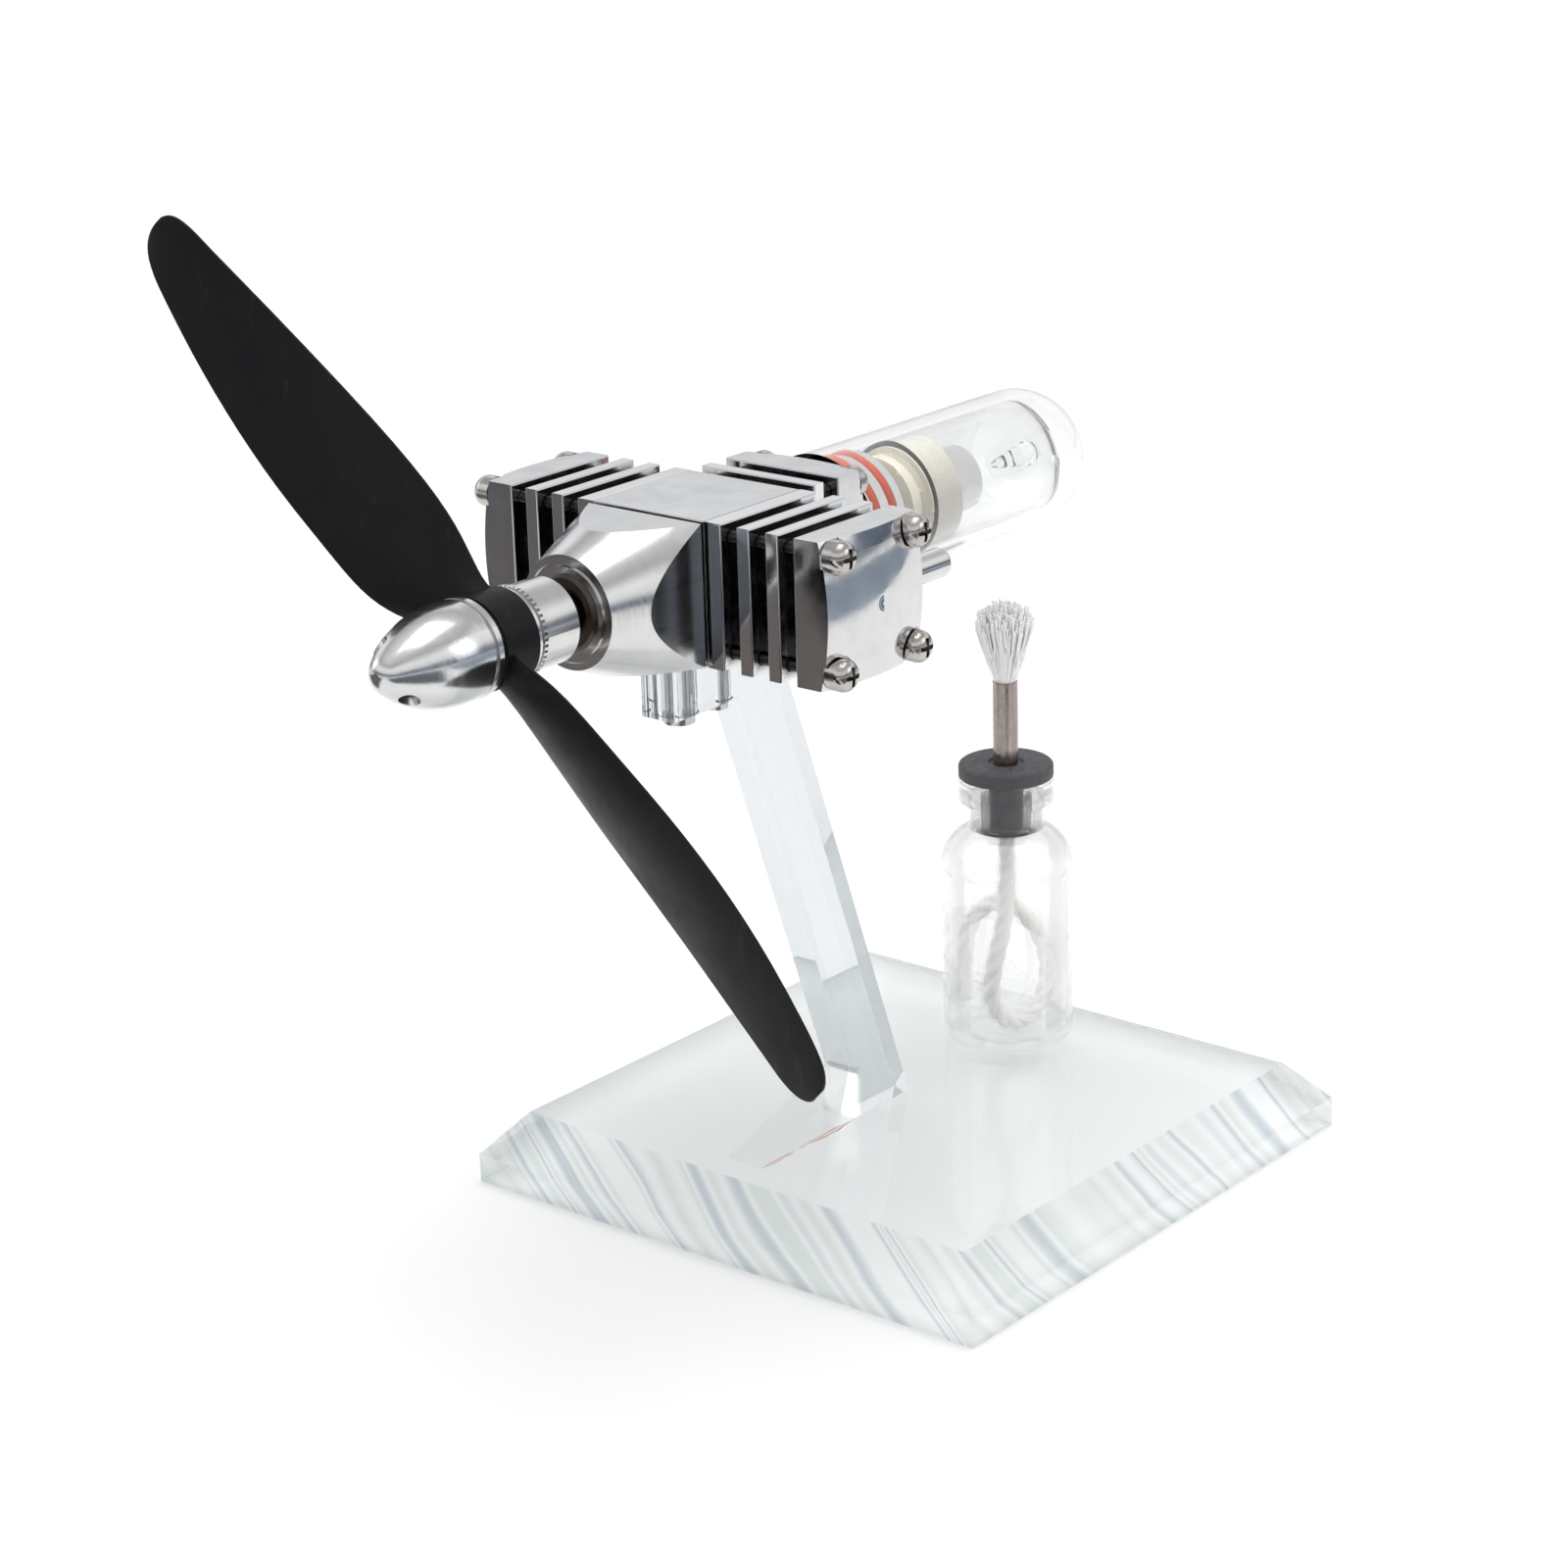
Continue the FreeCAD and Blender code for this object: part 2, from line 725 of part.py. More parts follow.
def make_rod_gland():
    bore, plug, depth = size("rod_radius") + 0.06, size("gland_radius"), size("gland_depth")
    body = turned("rod_gland", [(bore, 0.0), (plug, 0.0), (plug, depth), (plug + 1.0, depth),
                                (plug + 1.0, depth + 1.0), (plug + 0.4, depth + 1.5), (bore, depth + 1.5)])
    on_engine(body, "rear", spigot_end() - depth)


# ---------------------------------------------------------------- displacer

PLUG_START = -2.6
PLUG_LENGTH = 8.6
PLUG_FLOOR = 2.0
BOSS_LENGTH = 9.0


def make_displacer():
    rod_radius = size("rod_radius")
    seat = PLUG_LENGTH - PLUG_FLOOR
    plug = turned("displacer_plug", [
        (rod_radius, 0.0), (6.0, 0.0), (6.0, 1.6), (5.3, 1.9), (5.3, 2.6), (6.0, 2.9), (6.7, 2.9),
        (6.7, PLUG_LENGTH), (3.5, PLUG_LENGTH), (3.5, seat), (rod_radius, seat)])
    on_engine(plug, "rear", PLUG_START)
    washer = turned("displacer_washer", ring(rod_radius, 3.45, 0.0, 0.8))
    on_engine(washer, "rear", PLUG_START + seat)
    boss = turned("displacer_boss", [(rod_radius, 0.0), (3.4, 0.0), (3.4, 1.2), (4.3, 1.2),
                                     (4.3, BOSS_LENGTH - 0.4), (3.9, BOSS_LENGTH), (0.0, BOSS_LENGTH),
                                     (0.0, 3.0), (rod_radius, 3.0)])
    on_engine(boss, "rear", PLUG_START + seat + 0.8)
    rod_start = size("arm_centre") + LEVER_PIVOT_ALONG - 1.1
    rod_end = as_size(PLUG_START + PLUG_LENGTH + 1.7)
    rod = turned("displacer_rod", ring(0.0, rod_radius, 0.0, rod_end - rod_start))
    cross_hole = new_sketch(rod, "YZ_Plane")
    add_circle(cross_hole, 0.5, 0.0, 1.1)
    pocket(rod, cross_hole)
    on_engine(rod, "rear", rod_start)
    pin = turned("displacer_cross_pin", ring(0.0, 0.5, 0.0, 4.2))
    on_engine(pin, "right", size("arm_centre") + LEVER_PIVOT_ALONG, -1.3)


def make_capsule():
    """The sealed glass body of the displacer, with its melted-off tip."""
    outer, wall = size("capsule_radius"), size("capsule_wall")
    inner = outer - wall
    straight, dome, nub = 25.8, 8.9, 1.7
    tip = as_size(straight + 2.6)
    body = turned("displacer_capsule", [
        (inner, 0.0), (outer, 0.0), (outer, straight), (nub - 0.2, tip + 1.2, dome, -1),
        (0.4, tip + 2.9, nub, -1), (0.0, tip + 2.9), (0.0, straight - 4.6), (0.5, straight - 4.6),
        (1.7, straight + 2.4), (inner, straight - 0.2, dome, 1)])
    on_engine(body, "rear", as_size(0.5))


def make_lever():
    """The bell crank that turns the crank's rise and fall into the displacer's stroke."""
    body = new_body("displacer_lever")
    blank = new_sketch(body, "YZ_Plane", as_size(1.5))
    rise = -LEVER_PIVOT_HEIGHT
    add_outline(blank, [(-1.0, -0.8), (-1.0, -1.3), (1.0, -1.3), (1.02, 1.0), (1.02, rise + 1.5),
                        (-1.02, rise + 1.5), (-1.02, 0.6), (-3.3, 0.6), (-3.3, -0.5), (-1.3, -0.8)])
    pad(body, blank, 1.0)
    slot = new_sketch(body, "YZ_Plane")
    add_rectangle(slot, 0.6, 1.0, 0.0, rise)
    pocket(body, slot)
    holes = new_sketch(body, "YZ_Plane")
    add_circle(holes, 0.84)
    add_circle(holes, 0.3, -2.8)
    pocket(body, holes)
    on_engine(body, "up", size("arm_centre") + LEVER_PIVOT_ALONG, 0.0, LEVER_PIVOT_HEIGHT)
    reach = size("cube_half") + 1.4
    pin = turned("lever_pin", ring(0.0, 0.8, 0.0, reach * 2))
    on_engine(pin, "right", size("arm_centre") + LEVER_PIVOT_ALONG, -reach, LEVER_PIVOT_HEIGHT)


# ---------------------------------------------------------------- crank, yoke and pistons

CAVITY_FRONT_WALL = 0.6
WEB_THICKNESS = 1.6
YOKE_THICKNESS = 2.0


def yoke_front():
    return size("arm_centre") - YOKE_THICKNESS / 2


def make_crank():
    web_start = size("arm_centre") + CAVITY_FRONT + CAVITY_FRONT_WALL
    throw, pin_radius = size("crank_throw"), size("crank_pin_radius")
    shaft_front = size("propeller_plane") - 8.0
    shaft = turned("crankshaft", ring(0.0, size("shaft_radius"), 0.0, web_start - shaft_front))
    on_engine(shaft, "rear", shaft_front)
    web = new_body("crank_web")
    disc = new_sketch(web)
    add_circle(disc, 4.6)
    pad(web, disc, as_size(WEB_THICKNESS))
    pin_hole = new_sketch(web)
    add_circle(pin_hole, pin_radius, throw)
    pocket(web, pin_hole)
    on_engine(web, "rear", web_start)
    pin = turned("crank_pin", ring(0.0, pin_radius, 0.0,
                                   yoke_front() + YOKE_THICKNESS - 0.2 - web_start))
    on_engine(pin, "rear", web_start, throw)


def make_yoke_chain():
    """Everything between the crank pin and the pistons, with the crank at its rightmost."""
    throw, pin_radius = size("crank_throw"), size("crank_pin_radius")
    bush_radius = pin_radius + 0.44
    bush = turned("pin_bush", ring(pin_radius + 0.03, bush_radius, 0.0, YOKE_THICKNESS - 0.1))
    on_engine(bush, "rear", yoke_front(), throw)
    block = new_body("slider_block")
    outline = new_sketch(block)
    add_rectangle(outline, 1.8, 1.85)
    pad(block, outline, as_size(YOKE_THICKNESS - 0.1))
    centre_hole(block, bush_radius + 0.03)
    on_engine(block, "rear", yoke_front(), throw)
    yoke = new_body("yoke")
    frame = new_sketch(yoke)
    add_rectangle(frame, 2.9, 5.95)
    add_rectangle(frame, 1.85, 4.95)
    pad(yoke, frame, as_size(YOKE_THICKNESS))
    bridge = new_sketch(yoke, "XY_Plane", as_size(YOKE_THICKNESS))
    add_rectangle(bridge, 2.9, 2.2)
    pad(yoke, bridge, 0.6)
    stud = new_sketch(yoke, "XY_Plane", as_size(YOKE_THICKNESS + 0.6))
    add_circle(stud, 0.7)
    pad(yoke, stud, 0.8)
    on_engine(yoke, "rear", yoke_front(), throw)
    roller = turned("guide_roller", ring(0.73, 1.7, 0.0, 0.7))
    on_engine(roller, "rear", yoke_front() + YOKE_THICKNESS + 0.65, throw)
    for side, name in (("right", "power"), ("left", "guide")):
        turn = 1 if side == "right" else -1
        rod = turned(f"{name}_rod", ring(0.0, 1.1, 0.0, 9.5))
        on_engine(rod, side, size("arm_centre"), throw + 2.9 * turn)
        piston = turned(f"{name}_piston", [
            (1.1, 0.0), (size("cylinder_bore") - 0.05, 0.0), (size("cylinder_bore") - 0.05, 6.0),
            (0.0, 6.0), (0.0, 0.8), (1.1, 0.8)])
        on_engine(piston, side, size("arm_centre"), throw + 11.6 * turn)


# ---------------------------------------------------------------- propeller group

# Radius, then how far the trailing and the leading edge lie from the blade's radial line,
# then how far the section sits behind the plane of the tips.
BLADE_STATIONS = [
    (4.0, 3.4, 3.4, 2.0),
    (8.0, 3.7, 5.4, 1.9),
    (12.0, 4.5, 7.1, 1.8),
    (20.0, 5.0, 8.3, 1.7),
    (30.0, 4.6, 9.0, 1.6),
    (40.0, 3.9, 8.9, 1.3),
    (50.0, 3.2, 7.7, 0.7),
    (57.0, 2.7, 6.2, 0.2),
    (61.0, 2.2, 4.9, 0.0),
    (62.8, 1.3, 3.6, 0.0),
    (63.5, 0.2, 2.2, 0.0),
]


def blade_slope(radius):
    """Tangent of the blade angle: the pitch washes out evenly towards the tip."""
    return 0.53 - 0.0064 * radius


def blade_thickness(radius):
    return 0.5 + 2.2 * (1 - radius / SIZES["propeller_radius"]) ** 1.4


def blade_section(body, station):
    """One section of a blade: a flat back, thin edges and a curved front."""
    radius, trailing, leading, rake = station
    slope, thick = blade_slope(radius), blade_thickness(radius)
    edge = 0.3
    chord = (trailing + leading) * math.sqrt(1 + slope ** 2)
    bulge = thick - edge
    front_arc = (chord ** 2 / 4 + bulge ** 2) / (2 * bulge)
    whole = SIZES["propeller_radius"]
    sketch = new_sketch(body, "YZ_Plane", size("propeller_radius") * (radius / whole))
    add_outline(sketch, [(trailing, rake + trailing * slope),
                         (-leading, rake - leading * slope, front_arc, 1),
                         (-leading, rake - leading * slope + edge),
                         (trailing, rake + trailing * slope + edge)])
    return sketch


def blade_facing():
    """The propeller's own X axis runs out along the upper left blade, its Z axis backwards."""
    angle = math.radians(SIZES["blade_angle_deg"])
    return FreeCAD.Rotation(FreeCAD.Vector(-math.cos(angle), 0, math.sin(angle)),
                            FreeCAD.Vector(math.sin(angle), 0, math.cos(angle)),
                            FreeCAD.Vector(0, 1, 0), "XYZ")


def make_propeller():
    body = new_body("propeller")
    hub = new_sketch(body, "XY_Plane", as_size(-0.6))
    add_circle(hub, size("hub_radius"))
    pad(body, hub, size("hub_thickness"))
    sections = [blade_section(body, station) for station in BLADE_STATIONS]
    blade = body.newObject("PartDesign::AdditiveLoft", "propeller_blade")
    blade.Profile = sections[0]
    blade.Sections = sections[1:]
    doc.recompute()
    pattern = body.newObject("PartDesign::PolarPattern", "propeller_pattern")
    pattern.Originals = [blade]
    pattern.Axis = (origin_feature(body, "Z_Axis"), [""])
    pattern.Angle = 360
    pattern.Occurrences = 2
    body.Tip = pattern
    doc.recompute()
    centre_hole(body, size("shaft_radius"))
    on_engine(body, blade_facing(), size("propeller_plane"))


def make_spinner():
    """The polished nut, with a cross hole near its tip for tightening it."""
    radius, length = size("spinner_radius"), size("spinner_length")
    shaft = size("shaft_radius")
    body = turned("spinner_nut", [
        (shaft, 0.0), (radius - 0.2, 0.0), (radius, 0.2), (radius, 0.9), (radius - 0.35, 1.0),
        (radius - 0.35, 1.4), (radius, 1.5), (radius, 2.6),
        (2.1, length - 0.9, 15.5, -1), (0.6, length, 2.6, -1), (0.0, length), (0.0, 7.0), (shaft, 7.0)])
    hole = new_sketch(body, "XZ_Plane")
    add_circle(hole, 1.1, 0.0, length - 2.9)
    pocket(body, hole)
    turn = FreeCAD.Rotation(FreeCAD.Vector(0, 1, 0), -35).multiply(TURNS["front"])
    on_engine(body, turn, hub_front() - 0.6)


def hub_front():
    return size("propeller_plane") - 0.6


def hub_rear():
    return hub_front() + size("hub_thickness")


def make_hub_stack():
    shaft = size("shaft_radius")
    front_washer = turned("spinner_washer", ring(shaft, size("spinner_radius") - 0.5, 0.0, 0.6))
    on_engine(front_washer, "front", hub_front())
    hub_ring = turned("hub_ring", [(shaft, 0.0), (5.3, 0.0), (5.3, 0.7), (5.0, 1.0), (shaft, 1.0)])
    on_engine(hub_ring, "rear", hub_rear())
    washer = turned("drive_washer", [
        (shaft, 0.0), (size("washer_radius") + 0.3, 0.0), (size("washer_radius") + 0.3, 0.7),
        (size("washer_radius"), 1.0), (size("washer_radius"), 6.0),
        (size("washer_radius") - 0.3, 6.3), (shaft, 6.3)])
    tooth = new_sketch(washer)
    edge = size("washer_radius") + 0.3
    add_outline(tooth, [(edge - 0.35, 0.0), (edge + 0.2, -0.28), (edge + 0.2, 0.28)])
    cut = pocket(washer, tooth, as_size(0.5), outward=True)
    pattern = washer.newObject("PartDesign::PolarPattern", "drive_washer_teeth")
    pattern.Originals = [cut]
    pattern.Axis = (origin_feature(washer, "Z_Axis"), [""])
    pattern.Angle = 360
    pattern.Occurrences = 48
    washer.Tip = pattern
    doc.recompute()
    on_engine(washer, "rear", hub_rear() + 1.0)
    collar_start = hub_rear() + 7.3
    collar_end = nose_back() - size("nose_length") - 0.6
    collar = turned("shaft_collar", ring(shaft, 2.6, 0.0, collar_end - collar_start))
    on_engine(collar, "rear", collar_start)


# ---------------------------------------------------------------- spirit lamp

def make_bottle():
    outer, wall = size("bottle_radius"), size("bottle_wall")
    neck, lip, height = size("neck_radius"), size("lip_radius"), size("bottle_height")
    bore = as_size(3.45)
    body = turned("lamp_bottle", [
        (0.0, 0.6), (4.6, 0.6), (5.6, 0.0), (outer - 1.9, 0.0), (outer, 1.9, 1.9, -1),
        (outer, height - 12.8), (neck + 0.3, height - 6.9, 5.6, -1), (neck, height - 6.2),
        (neck, height - 3.7), (lip - 0.5, height - 3.4), (lip, height - 2.9, 0.5, -1),
        (lip, height - 0.5), (lip - 0.5, height, 0.5, -1), (bore + 0.3, height),
        (bore, height - 0.3), (bore, height - 6.6), (outer - wall, height - 12.9, 5.4, 1),
        (outer - wall, 3.0), (outer - wall - 1.4, 1.6, 1.4, 1), (0.0, 1.6)])
    place(body, "up", size("lamp_across"), size("lamp_back"), size("base_height"))


def make_stopper():
    height = size("bottle_height")
    rim = size("lip_radius")
    body = turned("stopper", [
        (1.65, -8.0), (3.0, -8.0), (3.4, -7.6), (3.42, 0.0), (rim - 0.3, 0.0), (rim, 0.3, 0.3, -1),
        (rim, 1.4), (rim - 0.6, 2.0, 0.6, -1), (2.4, 2.0), (2.2, 1.7), (1.65, 1.7)])
    vents = new_sketch(body, "XY_Plane", as_size(2.0))
    for side in (-1, 1):
        add_circle(vents, 0.2, side * 2.6, side * -2.4)
    pocket(body, vents, as_size(0.6))
    place(body, "up", size("lamp_across"), size("lamp_back"), size("base_height") + height)
    tube = turned("wick_tube", ring(size("wick_radius") + 0.05, size("wick_tube_radius"), 0.0, 21.5))
    place(tube, "up", size("lamp_across"), size("lamp_back"), size("base_height") + height - 8.4)


def wick_top():
    """Height of the top of the metal tube, where the wick frays out."""
    return SIZES["base_height"] + SIZES["bottle_height"] + 13.1


# The wick's way down through the stopper and round inside the bottle, as offsets from the
# bottle's axis (across, back) and heights above the bottle's foot.
WICK_ROUTE = [
    (0.0, 0.0, 49.5),
    (0.0, 0.0, 25.6),
    (1.0, -1.2, 21.0),
    (1.4, -3.0, 16.0),
    (1.0, -4.9, 10.6),
    (1.0, -4.9, 5.8),
    (2.2, -2.3, 2.9),
    (3.5, 1.4, 3.4),
    (3.9, 4.1, 7.6),
    (2.7, 4.6, 13.0),
    (-0.6, 3.5, 17.6),
    (-3.9, 1.2, 18.2),
    (-5.5, -1.5, 15.4),
    (-5.3, -2.9, 10.4),
    (-4.3, -3.6, 5.4),
]


def wick_path():
    """Straight runs joined by tangent arcs, each as wide as the shorter run beside it allows."""
    foot = FreeCAD.Vector(SIZES["lamp_across"], SIZES["lamp_back"], SIZES["base_height"])
    points = [foot + FreeCAD.Vector(*point) for point in WICK_ROUTE]
    edges, start = [], points[0]
    for before, corner, after in zip(points, points[1:], points[2:]):
        arriving = (corner - before).normalize()
        leaving = (after - corner).normalize()
        half_turn = arriving.getAngle(leaving) / 2
        shorter = min((corner - before).Length, (after - corner).Length)
        cut = 0.45 * shorter
        arc_start = corner - arriving * cut
        arc_end = corner + leaving * cut
        sideways = (leaving - arriving).normalize()
        radius = cut / math.tan(half_turn)
        print(f"wick bend radius {radius:.2f} mm")
        centre = corner + sideways * math.hypot(cut, radius)
        middle = centre - sideways * radius
        edges.append(Part.makeLine(start, arc_start))
        edges.append(Part.Arc(arc_start, middle, arc_end).toShape())
        start = arc_end
    edges.append(Part.makeLine(start, points[-1]))
    return Part.Wire(edges)


def make_wick():
    """The cotton wick is swept along its own route, so it is a shape set directly."""
    path = wick_path()
    profile = Part.Wire(Part.makeCircle(SIZES["wick_radius"], path.Edges[0].valueAt(0),
                                        path.Edges[0].tangentAt(0)))
    wick = doc.addObject("Part::Feature", "wick_rope")
    wick.Label = "wick_rope"
    wick.Shape = path.makePipeShell([profile], True, True)
    area = math.pi * SIZES["wick_radius"] ** 2
    print(f"wick length {path.Length:.1f} mm, volume {wick.Shape.Volume:.1f}, "
          f"section times length {area * path.Length:.1f}")
    nodes.append(wick)
    tuft = turned("wick_tuft", [(0.0, 0.0), (1.5, 0.0), (3.6, 6.5), (4.2, 9.0), (2.4, 11.0), (0.0, 11.4)])
    place(tuft, "up", size("lamp_across"), size("lamp_back"), as_size(wick_top()))


def write_parts():
    os.makedirs("parts", exist_ok=True)
    for name in os.listdir("parts"):
        os.remove(os.path.join("parts", name))
    doc.recompute()
    for thing in doc.Objects:
        if "Invalid" in thing.State or "Error" in thing.State:
            raise RuntimeError(f"{thing.Label} is {thing.State}")
    for node in nodes:
        if node.Shape.isNull() or not node.Shape.isValid() or not node.Shape.Solids:
            raise RuntimeError(f"{node.Label} has no valid shape")
        node.Shape.exportStep(f"parts/{node.Label}.step")
        print(f"{node.Label}: {len(node.Shape.Solids)} solid(s), {node.Shape.Volume:.1f} mm3")


fill_sheet()
make_base()
make_stand()
make_stand_screws()
make_crankcase()
make_nose()
make_nose_bushes()
for arm in ("right", "left"):
    make_cylinder(arm)
    make_cover(arm)
cover_seat = size("cover_corner_height") + size("screw_seat")
cover_grip, cover_head = size("cover_screw_grip"), size("screw_head_height")
make_corner_screws("cover_screws_right", cover_grip, cover_head, "right", size("arm_centre"),
                   size("arm_reach") + cover_seat)
make_corner_screws("cover_screws_left", cover_grip, cover_head, "left", size("arm_centre"),
                   -size("arm_reach") - cover_seat)
make_port_plug()
make_rear_barrel()
make_tube_holder()
make_corner_screws("holder_screws", size("holder_screw_grip"), size("holder_screw_head"), "rear",
                   holder_start() + cover_seat + size("holder_thicker"))
make_tube_seals()
make_hot_tube()
make_rod_gland()
make_displacer()
make_capsule()
make_lever()
make_crank()
make_yoke_chain()
make_propeller()
make_spinner()
make_hub_stack()
make_bottle()
make_stopper()
make_wick()
write_parts()
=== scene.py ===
import math
import random

import bmesh
import bpy
from mathutils import Matrix, Vector


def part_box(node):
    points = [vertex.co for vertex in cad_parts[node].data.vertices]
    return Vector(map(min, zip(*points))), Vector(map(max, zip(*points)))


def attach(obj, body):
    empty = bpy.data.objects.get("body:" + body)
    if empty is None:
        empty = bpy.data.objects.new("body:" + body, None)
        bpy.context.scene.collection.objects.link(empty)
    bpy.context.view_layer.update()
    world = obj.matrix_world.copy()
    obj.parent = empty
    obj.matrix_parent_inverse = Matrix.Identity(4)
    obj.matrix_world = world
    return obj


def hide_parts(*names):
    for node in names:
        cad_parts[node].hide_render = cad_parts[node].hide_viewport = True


# A desk-top hot-air engine in the shape of a small aircraft engine.  Metres, +Z up, the
# propeller faces -Y.  The CAD nodes keep their shapes and get their finishes here; the
# wick, its tuft and the glue line beside the stand's foot are built here.

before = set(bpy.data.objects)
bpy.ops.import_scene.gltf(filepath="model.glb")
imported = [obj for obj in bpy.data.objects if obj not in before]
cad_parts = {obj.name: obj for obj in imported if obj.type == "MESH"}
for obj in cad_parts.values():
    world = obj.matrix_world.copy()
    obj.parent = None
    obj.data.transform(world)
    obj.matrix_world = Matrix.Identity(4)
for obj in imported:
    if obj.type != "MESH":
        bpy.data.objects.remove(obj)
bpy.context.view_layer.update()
MM = 0.001
random.seed(7)


def middle(node):
    low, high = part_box(node)
    return (low + high) / 2


AXIS_X = middle("drive_washer").x
AXIS_Z = middle("drive_washer").z
BASE_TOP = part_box("glass_base")[1].z
LAMP = middle("lamp_bottle")
BASE_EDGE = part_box("glass_base")[1].x
BEVEL_WIDTH = 4.8 * MM
LEG_FRONT = -11.7 * MM
FOOT_HEIGHT = 7 * MM
FLOOR_Z = 0.05 * MM
HAIR = 0.02 * MM


# ---------------------------------------------------------------- camera, floor and light

CAMERA_AZIMUTH, CAMERA_ELEVATION, CAMERA_ROLL = 39.87, 18.86, -1.68
CAMERA_PLACE = (0.28404, -0.36387, 0.20948)
LENS, SENSOR = 87.76, 36


def make_camera():
    """A long lens, high on the right-hand front corner of the base."""
    angles = (CAMERA_AZIMUTH, CAMERA_ELEVATION, CAMERA_ROLL)
    azimuth, elevation, roll = (math.radians(angle) for angle in angles)
    back = Vector((math.sin(azimuth) * math.cos(elevation), -math.cos(azimuth) * math.cos(elevation),
                   math.sin(elevation)))
    level = Vector((math.cos(azimuth), math.sin(azimuth), 0))
    upright = back.cross(level)
    right = level * math.cos(roll) + upright * math.sin(roll)
    up = upright * math.cos(roll) - level * math.sin(roll)
    data = bpy.data.cameras.new("camera")
    data.lens = LENS
    data.sensor_width = SENSOR
    camera = bpy.data.objects.new("camera", data)
    turn = Matrix((right, up, back)).transposed().to_4x4()
    camera.matrix_world = Matrix.Translation(CAMERA_PLACE) @ turn
    bpy.context.scene.collection.objects.link(camera)
    bpy.context.scene.camera = camera


# The tent as a lamp, and how much brighter it looks straight on or through glass.
TENT_LIGHT, TENT_EXTRA = 0.62, 0.45
SUN_STRENGTH, SUN_WIDTH = 1.75, 60
SIDE_BOX, SIDE_POWER = (0.35, 0.5), 0.5
TOP_BOX, TOP_POWER = (0.5, 0.4), 0.8


def add_area(name, place, aim, size, power):
    data = bpy.data.lights.new(name, "AREA")
    data.shape = "RECTANGLE"
    data.size, data.size_y = size
    data.energy = power
    light = bpy.data.objects.new(name, data)
    light.location = place
    light.rotation_euler = (Vector(aim) - Vector(place)).to_track_quat("-Z", "Y").to_euler()
    bpy.context.scene.collection.objects.link(light)


def add_sun(name, strength, width):
    """Soft light from straight above, which reaches the table through the glass pieces too."""
    data = bpy.data.lights.new(name, "SUN")
    data.energy = strength
    data.angle = math.radians(width)
    sun = bpy.data.objects.new(name, data)
    sun.visible_glossy = False
    bpy.context.scene.collection.objects.link(sun)


def make_light():
    """Three soft boxes, a wide sun overhead and the tent."""
    target = (0, -0.02, 0.08)
    add_area("top_box", (0.05, 0.0, 0.75), target, TOP_BOX, TOP_POWER)
    add_area("left_box", (-0.75, -0.35, 0.35), target, SIDE_BOX, SIDE_POWER)
    add_area("right_box", (0.75, 0.30, 0.40), target, SIDE_BOX, SIDE_POWER)
    add_sun("overhead", SUN_STRENGTH, SUN_WIDTH)
    make_tent()
    bpy.context.scene.view_settings.view_transform = "Standard"


def make_tent():
    """A white tent.  Its darker bands show only in blurred reflections, so clear glass stays bright."""
    world = bpy.data.worlds.new("room")
    bpy.context.scene.world = world
    world.use_nodes = True
    nodes, links = world.node_tree.nodes, world.node_tree.links
    nodes.clear()
    coords = nodes.new("ShaderNodeTexCoord")
    split = nodes.new("ShaderNodeSeparateXYZ")
    links.new(coords.outputs["Generated"], split.inputs[0])
    ramp = nodes.new("ShaderNodeValToRGB")
    fill_ramp(ramp, [(0.0, (0.9, 0.9, 0.9)), (0.49, (0.9, 0.9, 0.9)), (0.5, (0.10, 0.13, 0.18)),
                     (0.57, (0.20, 0.24, 0.30)), (0.63, (0.95, 0.96, 0.97)), (0.75, (1.1, 1.1, 1.1)),
                     (0.85, (0.50, 0.51, 0.52)), (1.0, (1.0, 1.0, 1.0))])
    from_below = add_math(nodes, links, "MULTIPLY_ADD", split.outputs["Z"], 0.5, 0.5)
    links.new(from_below, ramp.inputs[0])
    mirrored = nodes.new("ShaderNodeBackground")
    links.new(ramp.outputs[0], mirrored.inputs["Color"])
    path = nodes.new("ShaderNodeLightPath")
    seen = add_math(nodes, links, "ADD", path.outputs["Is Transmission Ray"], path.outputs["Is Camera Ray"])
    strength = add_math(nodes, links, "MULTIPLY_ADD", seen, TENT_EXTRA, TENT_LIGHT)
    tent = nodes.new("ShaderNodeBackground")
    tent.inputs["Color"].default_value = (1, 1, 1, 1)
    links.new(strength, tent.inputs["Strength"])
    glossy, sharp = path.outputs["Is Glossy Ray"], path.outputs["Is Singular Ray"]
    blurred = add_math(nodes, links, "SUBTRACT", glossy, sharp)
    mix = nodes.new("ShaderNodeMixShader")
    links.new(blurred, mix.inputs["Fac"])
    links.new(tent.outputs[0], mix.inputs[1])
    links.new(mirrored.outputs[0], mix.inputs[2])
    output = nodes.new("ShaderNodeOutputWorld")
    links.new(mix.outputs[0], output.inputs["Surface"])


FLAG_HEIGHT = 1 * MM
# Each card: name, near left corner, far right corner, and its colours on the left and right.
FLAGS = [
    ("front_flag", (-0.60, -0.75), (-0.07, -0.125), (0.035, 0.045, 0.065), (0.12, 0.10, 0.085)),
    ("side_flag", (0.12, -0.60), (0.90, -0.06), (0.07, 0.08, 0.10), (0.12, 0.14, 0.17)),
    ("far_flag", (0.27, 0.03), (1.40, 1.40), (0.20, 0.25, 0.31), (0.16, 0.20, 0.26)),
]


